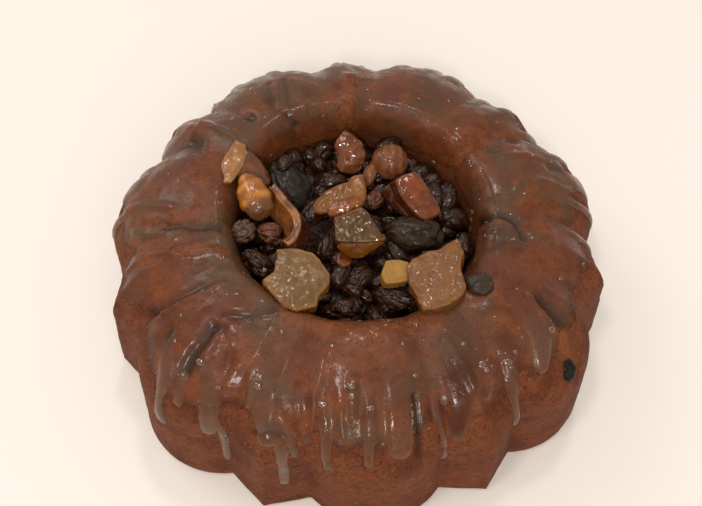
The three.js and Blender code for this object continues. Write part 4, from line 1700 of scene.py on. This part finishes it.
@dataclass
class FruitHeap:
    """Raisins packed in the hole, over a core of their own. Millimetres."""

    ring: FlutedRing
    base: float = 0.4
    rim_height: float = 43.0
    rim_lift: float = 2.5
    dome_height: float = 47.0
    gap: float = 0.6
    finish: str = "packed_raisin_skin"
    raisins: int = 130
    size: Triple = (10.0, 7.2, 6.4)
    shapes: tuple[tuple[float, float], ...] = ((0.2, 0.5), (0.16, 0.42), (0.22, 0.6))
    sizes: tuple[float, float] = (0.7, 1.35)
    margin: float = 3.5
    spiral: float = math.radians(137.5)
    sink: float = 1.0
    lift: float = 3.4
    jitter: float = 2.6
    tilt: float = 35.0
    core_sides: int = 72
    core_rings: int = 5
    core_inset: float = 0.16
    seed: int = 101

    def core(self) -> bpy.types.Object:
        """Models the plug of packed fruit that the raisins lie on."""
        foot = self.ring.height - self.ring.mouth_depth

        def radius_at(height: float) -> float:
            """Returns the plug's radius at a height."""
            grown = self.ring.hole_radius - self.ring.hole_base_radius
            return self.ring.hole_base_radius + grown * height / foot - self.gap

        Bench.clear_selection()
        bpy.ops.mesh.primitive_cylinder_add(vertices=self.core_sides, radius=1, depth=1, location=(0, 0, 0.5))
        bpy.ops.object.transform_apply(location=True, rotation=True, scale=True)
        piece = Bench.started("heap_core")
        bpy.ops.object.mode_set(mode="EDIT")
        bpy.ops.mesh.select_all(action="DESELECT")
        bpy.ops.object.mode_set(mode="OBJECT")
        for face in piece.data.polygons:
            face.select = face.normal.z > 0.9
        bpy.ops.object.mode_set(mode="EDIT")
        for _ in range(self.core_rings):
            bpy.ops.mesh.inset(thickness=self.core_inset)
        bpy.ops.object.mode_set(mode="OBJECT")
        points = Bench.points(piece)
        out = np.linalg.norm(points[:, :2], axis=1)
        on_top = points[:, 2] > 0.5
        top = self.dome_height + (self.rim_height - self.dome_height) * out**2
        points[:, :2] *= np.where(on_top, radius_at(self.rim_height), radius_at(self.base))[:, None]
        points[:, 2] = np.where(on_top, top, self.base)
        wide, tall = self.ring.wave(np.arctan2(points[:, 1], points[:, 0]))
        points[:, :2] = points[:, :2] * wide[:, None] + np.array(self.ring.hole_shift)
        points[:, 2] *= tall
        Bench.move_points(piece, points)
        # The plug takes mostly the fold colour, as painted shade between the raisins.
        Bench.paint(piece, "fold_shade", np.full(len(points), 0.2))
        return piece

    def masters(self) -> list[bpy.types.Object]:
        """Models three raisins of the usual size."""
        plain = Lie("fruit_heap", (0, 0, 0), (0, 0, 0), "raisin")
        raisins = (
            DriedFruit(plain, self.finish, self.seed + i, size=self.size, folds=folds, pitch=pitch, detail=4)
            for i, (folds, pitch) in enumerate(self.shapes)
        )
        return [raisin.model() for raisin in raisins]

    def build(self, finish: bpy.types.Material) -> bpy.types.Object:
        """Models the heap.

        Args:
            finish: The raisins' material.

        Returns:
            The heap, one piece.
        """
        random = np.random.default_rng(self.seed)
        masters = self.masters()
        pieces = [self.core()]
        outer = self.ring.hole_radius - self.margin
        fall = self.rim_height + self.rim_lift - self.dome_height
        across, deep = self.ring.hole_shift
        for i in range(self.raisins):
            radius = outer * math.sqrt((i + 0.5) / self.raisins)
            angle = self.spiral * i
            place = (
                radius * math.cos(angle) + across + random.uniform(-self.jitter, self.jitter),
                radius * math.sin(angle) + deep + random.uniform(-self.jitter, self.jitter),
                self.dome_height + fall * (radius / outer) ** 2 - self.sink + random.uniform(0, self.lift),
            )
            tilts = random.uniform(-self.tilt, self.tilt), random.uniform(-self.tilt, self.tilt)
            turn = (*tilts, random.uniform(0, 180))
            matrix = Lie("fruit_heap", place, turn, "raisin").matrix()
            copy = Bench.copied(masters[i % len(masters)])
            points = Bench.points(copy) * random.uniform(*self.sizes)
            Bench.move_points(copy, moved(points, matrix))
            pieces.append(copy)
        for master in masters:
            bpy.data.objects.remove(master)
        heap = Bench.joined(pieces, "fruit_heap_raisins")
        Bench.move_points(heap, Bench.points(heap) * MM)
        Bench.smooth(heap)
        Bench.dress(heap, finish)
        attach(heap, "root")
        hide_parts("fruit_heap")
        return heap


# --- Stage ---


@dataclass(frozen=True)
class Lamp:
    """A square soft light that looks at the cake."""

    name: str
    azimuth: float
    elevation: float
    distance: float
    side: float
    power: float
    shines: bool = True
    colour: Triple = (1.0, 0.945, 0.88)

    def set_up(self) -> None:
        """Hangs the light. An azimuth of 0 is in front and 90 to the right."""
        turn, rise = math.radians(self.azimuth), math.radians(self.elevation)
        away = Vector((math.sin(turn) * math.cos(rise), -math.cos(turn) * math.cos(rise), math.sin(rise)))
        Bench.clear_selection()
        bpy.ops.object.light_add(type="AREA", location=away * self.distance)
        lamp = Bench.started(self.name)
        lamp.rotation_euler = (-away).to_track_quat("-Z", "Y").to_euler()
        lamp.data.shape = "SQUARE"
        lamp.data.size = self.side
        lamp.data.energy = self.power
        lamp.data.color = self.colour
        lamp.visible_glossy = self.shines


@dataclass(frozen=True)
class Studio:
    """A plain pale floor and soft light."""

    floor_colour: Triple = (251, 246, 240)
    floor_tint: Triple = (250, 244, 237)
    floor_side: float = 8.0
    sky: Triple = (1.0, 0.945, 0.88)
    sky_strength: float = 0.45
    lamps: tuple[Lamp, ...] = (
        Lamp("front_window", -4, 46, 1.9, 0.17, 6.5),
        Lamp("top_window", -60, 72, 1.9, 0.24, 5.0),
        Lamp("ceiling_lamp", 172, 68, 2.0, 0.2, 4.5),
        Lamp("left_window", -125, 40, 2.0, 0.9, 5.5),
        Lamp("front_fill", 10, 40, 2.2, 1.4, 9.5, shines=False),
        Lamp("top_fill", 0, 88, 2.2, 1.4, 3.5, shines=False),
    )

    def floor(self) -> bpy.types.Object:
        """Lays the floor."""
        Bench.clear_selection()
        bpy.ops.mesh.primitive_plane_add(size=self.floor_side)
        floor = Bench.started("floor")
        mix = Recipe("pale_floor")
        tint = mix.blend(mix.noise(300, 2), self.floor_colour, self.floor_tint)
        mix.set(Base_Color=tint, Roughness=0.9, Specular_IOR_Level=0.1)
        floor.data.materials.append(mix.material)
        return floor

    def set_up(self) -> None:
        """Lays the floor, lights it and sets plain colours."""
        self.floor()
        for lamp in self.lamps:
            lamp.set_up()
        world = bpy.data.worlds.new("pale_sky")
        world.use_nodes = True
        background = next(node for node in world.node_tree.nodes if node.type == "BACKGROUND")
        background.inputs["Color"].default_value = (*self.sky, 1)
        background.inputs["Strength"].default_value = self.sky_strength
        bpy.context.scene.world = world
        bpy.context.scene.view_settings.view_transform = "Standard"


# --- The whole cake ---

CITRON = (
    (276.5, 249), (298, 249.5), (312, 253.5), (320.5, 260.5), (329.5, 272.5), (328.5, 284.5), (319, 295),
    (317.5, 306), (308.5, 307), (294, 309.5), (282.5, 303.5), (275, 295), (263.5, 283), (262.5, 278),
    (272, 273.5), (276.5, 271), (275.5, 262), (278, 257),
)  # fmt: skip
MELON = (
    (408, 264), (411, 259.5), (426.5, 252.5), (440.5, 249), (447, 244), (457, 238), (459.5, 241.5),
    (463.5, 252), (459, 266), (463, 276), (465.5, 286.5), (461, 293.5), (449, 303.5), (438.5, 307),
    (422, 309.5), (418.5, 302), (414.5, 291.5), (409, 283),
)  # fmt: skip
PINEAPPLE = (
    (386.5, 260), (399, 259.5), (409, 262), (408, 280), (399, 281.5), (386, 283), (382, 275), (383, 271),
)  # fmt: skip
CUBE = (
    (334.5, 217), (347, 213.5), (361, 207), (369, 213.5), (374.5, 222.5), (381.5, 234), (384.5, 240),
    (372, 241.5), (354, 242), (337, 241), (335, 231),
)  # fmt: skip
CHERRY = (
    (396, 180), (406, 174.5), (415, 172), (420.5, 175), (430, 189), (438.5, 203), (441.5, 212),
    (431, 217.5), (422, 219), (413, 210), (403, 197),
)  # fmt: skip
CHERRY_REAR = (
    (334.5, 147), (340, 136), (345, 131), (353.5, 135), (361, 144), (365, 155), (364, 161), (361, 170),
    (353.5, 174), (340, 171), (336, 166), (337.5, 156),
)  # fmt: skip
FLAKE_PLATE = (
    (235.5, 139.5), (241.5, 142.5), (246.5, 145), (245, 149), (248.5, 152), (245, 158), (242.5, 166),
    (238.5, 172), (235.5, 177), (232, 181.5), (223.5, 181.5), (224.5, 174.5), (222, 167.5), (222.5, 162),
    (226, 155.5), (230, 149),
)  # fmt: skip
FLAKE_BODY = (
    (243, 150), (250, 150), (256, 155), (262, 161), (268, 170), (271.5, 179), (270, 186), (262, 184),
    (250, 178), (240, 176), (236, 172), (240, 166), (241, 157),
)  # fmt: skip
WING = (
    (313.5, 206.5), (318, 199.5), (324, 194), (329, 190), (336, 187.5), (341, 184.5), (347, 183.5),
    (349.5, 178), (355, 176), (361.5, 175), (363, 184), (364, 196), (362, 203), (346, 206), (330, 210),
    (322, 213), (317.5, 211.5),
)  # fmt: skip
WING_BODY = (
    (327, 208.5), (334, 201), (345, 198), (357, 197), (363.5, 200.5), (361, 207.5), (352, 213), (338, 216),
    (328, 215),
)  # fmt: skip
CHERRY_FLANK = (
    (382, 189), (389, 183), (398, 180), (406, 194), (415, 209), (424, 219), (420, 223.5), (407, 220),
    (393, 209), (384, 198),
)  # fmt: skip
CUBE_FOOT = (
    (337, 248.5), (344, 238), (358, 236.5), (371, 235.5), (385.5, 238.5), (383, 245), (373, 250.5),
    (363, 258), (352, 258.5), (343, 253),
)  # fmt: skip
CHERRY_BIT = ((338, 252), (345, 250), (352, 254), (352, 263), (344, 266), (337, 262))
CURL_RIM = (
    (271, 186), (277, 191), (281.5, 198), (288, 204.5), (294.5, 212), (298, 221), (297, 230), (292.5, 238),
    (286, 244),
)  # fmt: skip


FINISHES: tuple[DriedFinish | CandiedFinish, ...] = (
    DriedFinish("raisin_skin", (50, 25, 11), (24, 11, 6), (76, 46, 28), bloom_share=0.25, roughness=0.2),
    DriedFinish(
        "packed_raisin_skin", (46, 21, 8), (22, 9, 4), (60, 34, 20), bloom_share=0.2, roughness=0.26,
    ),
    DriedFinish(
        "dusty_raisin_skin", (84, 58, 40), (44, 27, 18), (112, 88, 70), bloom_share=0.5, roughness=0.3,
    ),
    DriedFinish(
        "red_raisin_skin", (96, 50, 28), (44, 19, 11), (140, 92, 66), bloom_share=0.4, roughness=0.18,
    ),
    DriedFinish(
        "prune_skin", (36, 28, 21), (17, 12, 9), (58, 50, 41),
        bloom_share=0.5, roughness=0.4, glow=0.03, wet=0.12,
    ),
    DriedFinish(
        "brown_prune_skin", (44, 29, 14), (20, 12, 6), (64, 47, 28),
        bloom_share=0.5, roughness=0.36, glow=0.03, wet=0.2,
    ),
    DriedFinish(
        "sultana_skin", (126, 76, 42), (110, 62, 34), (142, 98, 66),
        bloom_share=0.4, roughness=0.2, glow=0.5,
    ),
    DriedFinish(
        "sunk_raisin_skin", (58, 42, 31), (28, 19, 13), (78, 61, 48), bloom_share=0.4, roughness=0.3,
    ),
    DriedFinish(
        "baked_raisin_skin", (26, 17, 12), (12, 8, 6), (44, 31, 23),
        bloom_share=0.3, roughness=0.5, glow=0.0, wet=0.0,
    ),
    CandiedFinish(
        "candied_citron", (150, 112, 64), (128, 94, 52), (230, 184, 118), (160, 104, 36),
        roughness=0.25, clear=0.4,
    ),
    CandiedFinish(
        "candied_citron_cube", (108, 72, 16), (90, 57, 10), (176, 128, 60), (108, 66, 16),
        roughness=0.25, clear=0.35, coat=0.7,
    ),
    CandiedFinish(
        "amber_citron", (138, 83, 20), (116, 66, 12), (190, 130, 52), (120, 68, 16),
        roughness=0.2, rim_share=0.6,
    ),
    CandiedFinish(
        "candied_melon", (144, 97, 47), (130, 84, 40), (178, 130, 74), (126, 78, 32),
        roughness=0.4, rim_share=0.6, clear=0.2, coat=0.5,
    ),
    CandiedFinish(
        "candied_pineapple", (168, 129, 64), (156, 116, 54), (188, 150, 88), (150, 104, 44),
        roughness=0.45, glow=0.4, clear=0.0, coat=0.3,
    ),
    CandiedFinish(
        "candied_orange", (176, 104, 28), (150, 84, 22), (218, 152, 66), (108, 70, 34),
        roughness=0.2, glow=0.6, clear=0.12, rim_share=0.8,
    ),
    CandiedFinish(
        "candied_cherry", (156, 76, 18), (118, 48, 11), (200, 132, 64), (92, 36, 12), roughness=0.18,
    ),
    CandiedFinish(
        "pale_cherry", (152, 84, 38), (122, 60, 26), (180, 120, 66), (112, 54, 24), roughness=0.22,
    ),
    CandiedFinish(
        "dark_cherry", (92, 40, 18), (66, 26, 12), (132, 80, 48), (58, 22, 10),
        roughness=0.2, rim_share=0.4,
    ),
    CandiedFinish(
        "amber_peel", (178, 92, 22), (140, 62, 14), (208, 146, 70), (116, 60, 20),
        roughness=0.15, rim_share=0.3,
    ),
    CandiedFinish(
        "tan_peel", (182, 128, 72), (160, 106, 58), (212, 166, 104), (128, 80, 42),
        roughness=0.3, glow=0.6, clear=0.15,
    ),
    CandiedFinish(
        "brown_peel", (156, 98, 34), (130, 78, 27), (188, 136, 66), (110, 62, 22),
        roughness=0.35, glow=0.6, clear=0.15, coat=0.35,
    ),
    CandiedFinish("amber_flake", (144, 88, 42), (116, 66, 32), (184, 130, 76), (96, 54, 26), roughness=0.2),
    CandiedFinish(
        "curled_peel", (150, 90, 46), (108, 58, 27), (184, 126, 72), (82, 36, 12),
        roughness=0.2, glow=0.5, clear=0.15, rim_share=0.65,
    ),
)  # fmt: skip
FRUIT: tuple[Fruit, ...] = (
    DriedFruit(
        Lie("prune_left", (-26.5, 18.5, 51.5), (15, 10, -55), "prune"), "prune_skin", 200,
        size=(21.5, 15.5, 12), folds=0.11, pitch=0.6,
    ),
    DriedFruit(
        Lie("raisin_on_prune", (-28.6, 22.4, 59), (10, 0, 60), "raisin"), "raisin_skin", 201,
        size=(7, 5.4, 4.6), folds=0.1, pitch=0.8,
    ),
    DriedFruit(
        Lie("prune_right", (19.5, -2.2, 51.5), (10, 0, -8), "prune"), "brown_prune_skin", 202,
        size=(21.5, 14.5, 11.5), folds=0.15, pitch=0.5,
    ),
    DriedFruit(
        Lie("raisin_left_outer", (-41.5, -6, 55.5), (12, -10, 20), "raisin"), "dusty_raisin_skin", 203,
        size=(9.2, 8.6, 7.4), folds=0.22, pitch=0.45,
    ),
    DriedFruit(
        Lie("raisin_in_curl", (-32, -6, 55.5), (10, 0, -20), "raisin"), "red_raisin_skin", 204,
        size=(8.6, 7.4, 6.8), folds=0.26, pitch=0.4,
    ),
    DriedFruit(
        Lie("raisin_left_lower", (-35.5, -17, 52), (0, 12, -30), "raisin"), "raisin_skin", 205,
        size=(13, 8.4, 7.4), folds=0.24, pitch=0.5,
    ),
    DriedFruit(
        Lie("raisin_middle_rear", (-10.6, 20.5, 51), (0, 0, 15), "raisin"), "raisin_skin", 206,
        size=(10.4, 6.6, 6), folds=0.2, pitch=0.5,
    ),
    DriedFruit(
        Lie("raisin_middle", (5, 12, 52), (0, 0, 60), "raisin"), "red_raisin_skin", 207,
        size=(8, 6.4, 5.8), folds=0.2, pitch=0.5,
    ),
    DriedFruit(
        Lie("sultana_small", (3, 22.5, 53), (20, 0, 75), "sultana"), "sultana_skin", 208,
        size=(10, 5.4, 5.4), folds=0.1, pitch=0.8,
    ),
    DriedFruit(
        Lie("raisin_front_left", (-5, -33, 50.5), (0, 0, -4), "raisin"), "raisin_skin", 209,
        size=(9.8, 6.8, 6), folds=0.24, pitch=0.45,
    ),
    DriedFruit(
        Lie("raisin_front_right", (13.8, -28, 51), (0, 0, -12), "raisin"), "raisin_skin", 210,
        size=(15.7, 8.6, 7.4), folds=0.26, pitch=0.5,
    ),
    DriedFruit(
        Lie("raisin_front_middle", (0.8, -20, 49.5), (0, 0, 50), "raisin"), "raisin_skin", 211,
        size=(10, 7.6, 6.6), folds=0.24, pitch=0.45,
    ),
    DriedFruit(
        Lie("raisin_middle_left", (-11, -7, 50), (0, 0, 80), "raisin"), "raisin_skin", 212,
        size=(12, 6.6, 6.2), folds=0.24, pitch=0.5,
    ),
    DriedFruit(
        Lie("baked_raisin_top", (41.5, -27, 59.6), (0, 12, 10), "raisin"), "sunk_raisin_skin", 213,
        size=(11, 8.2, 7.4), folds=0.12, pitch=0.6,
    ),
    DriedFruit(
        Lie("baked_raisin_side", (72.6, -49.3, 42.4), (0, 50, -35), "raisin"), "baked_raisin_skin", 214,
        size=(8.6, 6.6, 6), folds=0.2, pitch=0.5,
    ),
    DriedFruit(
        Lie("sultana_rear", (10.5, 28, 55), (25, 0, 0), "sultana"), "sultana_skin", 230,
        size=(14.2, 14.2, 12), folds=0.03, pitch=0.6, ribs=4.2, rib_height=0.012,
    ),
    CandiedCut(
        Lie("peel_flake_left", (-46, 20.5, 63.6), (4, 12, 0), "peel"), "tan_peel", 11, part="plate",
        outline=FLAKE_PLATE, thickness=2.6, swell=0, pits=0.16,
    ),
    CandiedCut(
        Lie("peel_flake_left", (-40.5, 20.5, 58.5), (10, 30, 0), "peel"), "amber_flake", 12, part="flesh",
        outline=FLAKE_BODY, thickness=6, cut=Cut.SOFT, swell=0.8,
    ),
    CandiedCut(
        Lie("citron_chunk", (-20.5, -28, 59), (10, 6, 0), "citron"), "candied_citron", 13,
        outline=CITRON, thickness=8.5, swell=1.0, pits=0.45, rim_width=1.8, rim_side=(1, 0.2),
    ),
    CandiedCut(
        Lie("melon_chunk", (27, -26.5, 60), (8, -8, 0), "melon"), "candied_melon", 14,
        outline=MELON, thickness=8, swell=0.5, pits=0.34, rim_width=0.9,
    ),
    CandiedCut(
        Lie("peel_flake_middle", (-8, 9, 59.5), (26, -10, 25), "amber_peel"), "brown_peel", 15, part="wing",
        outline=WING, thickness=2.6, swell=0, pits=0.16, growth=0.8,
    ),
    CandiedCut(
        Lie("peel_flake_middle", (-6, 7, 59), (20, -6, 25), "amber_peel"), "amber_peel", 16, part="flesh",
        outline=WING_BODY, thickness=5.5, cut=Cut.SOFT, swell=1.2, pits=0.24,
    ),
    CandiedCut(
        Lie("citron_cube", (0, -6.3, 57), (16, 0, 8), "citron"), "candied_citron_cube", 17,
        outline=CUBE, thickness=9, swell=0.3, pits=0.24,
    ),
    CandiedCut(
        Lie("citron_cube", (0.5, -11.4, 54.6), (58, 0, 8), "citron"), "amber_citron", 27, part="foot",
        outline=CUBE_FOOT, thickness=4, swell=0.4, pits=0.2,
    ),
    CandiedCut(
        Lie("pineapple_cube", (12.6, -23.5, 58.5), (12, 6, -3), "pineapple"), "candied_pineapple", 18,
        outline=PINEAPPLE, thickness=6.4, swell=0.1, pits=0.16,
    ),
    DriedFruit(
        Lie("candied_orange", (-38, 6, 60.5), (16, 10, -62), "orange"), "candied_orange", 19,
        size=(18, 12, 10), folds=0.04, pitch=0.5, ribs=3.4, rib_height=0.032, dark_end=0.15,
    ),
    CandiedCut(
        Lie("cherry_block", (19.5, 9, 56), (20, 12, -38), "cherry"), "candied_cherry", 20,
        outline=CHERRY, thickness=9.5, cut=Cut.SOFT, swell=0.6, lean=1.0, rim_width=1.4,
    ),
    CandiedCut(
        Lie("cherry_block", (16.5, 8, 53.5), (34, -26, -38), "cherry"), "dark_cherry", 28, part="flank",
        outline=CHERRY_FLANK, thickness=5, cut=Cut.SOFT, swell=0.4,
    ),
    CandiedCut(
        Lie("cherry_piece_rear", (-5, 31, 56), (42, 0, 75), "cherry"), "pale_cherry", 21,
        outline=CHERRY_REAR, thickness=5.5, swell=0.8, pits=0.5, rim_width=0.8,
    ),
    CandiedStrip(
        Lie("peel_curl", (-33, -1.5, 57), (0, 0, 20), "amber_peel"), "curled_peel", 22,
        rim=CURL_RIM,
    ),
    CandiedCut(
        Lie("cherry_bit", (-4.6, -17.4, 49.5), (0, 10, 30), "cherry"), "candied_cherry", 35,
        outline=CHERRY_BIT, thickness=5, cut=Cut.SOFT,
    ),
)  # fmt: skip


class Filling:
    """Every piece of fruit that lies on the heap or is baked into the cake."""

    def __init__(self, ring: FlutedRing) -> None:
        """Mixes the finishes.

        Args:
            ring: The ring whose hole the fruit fills.
        """
        self.ring = ring
        self.finishes = {finish.name: finish.material() for finish in FINISHES}

    def build(self) -> None:
        """Models the heap and then every piece on it."""
        for fruit in (FruitHeap(self.ring), *FRUIT):
            Bench.report(fruit.build(self.finishes[fruit.finish]))


def save_sizes() -> None:
    """Updates the view layer only.
    """
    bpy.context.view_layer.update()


def main() -> None:
    """Builds the cake, its glaze and its filling on the stage."""
    logging.basicConfig(level=logging.INFO, format="%(name)s %(message)s")
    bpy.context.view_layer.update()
    Bench.clear_selection()
    view = Viewpoint()
    view.set_up()
    Studio().set_up()
    ring = FlutedRing()
    skin = CakeSkin(ring, Landing(ring, view))
    crust = Crust().build(skin)
    glaze = Glaze().build(skin)
    beads = GlazeBeads(ring, skin.landing).build(glaze)
    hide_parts("cake")
    for piece, finish in ((crust, CrustFinish()), (glaze, GlazeFinish()), (beads, BeadFinish())):
        Bench.dress(piece, finish.material())
        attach(piece, "root")
        Bench.report(piece)
    Filling(ring).build()
    save_sizes()


if __name__ == "__main__":
    main()
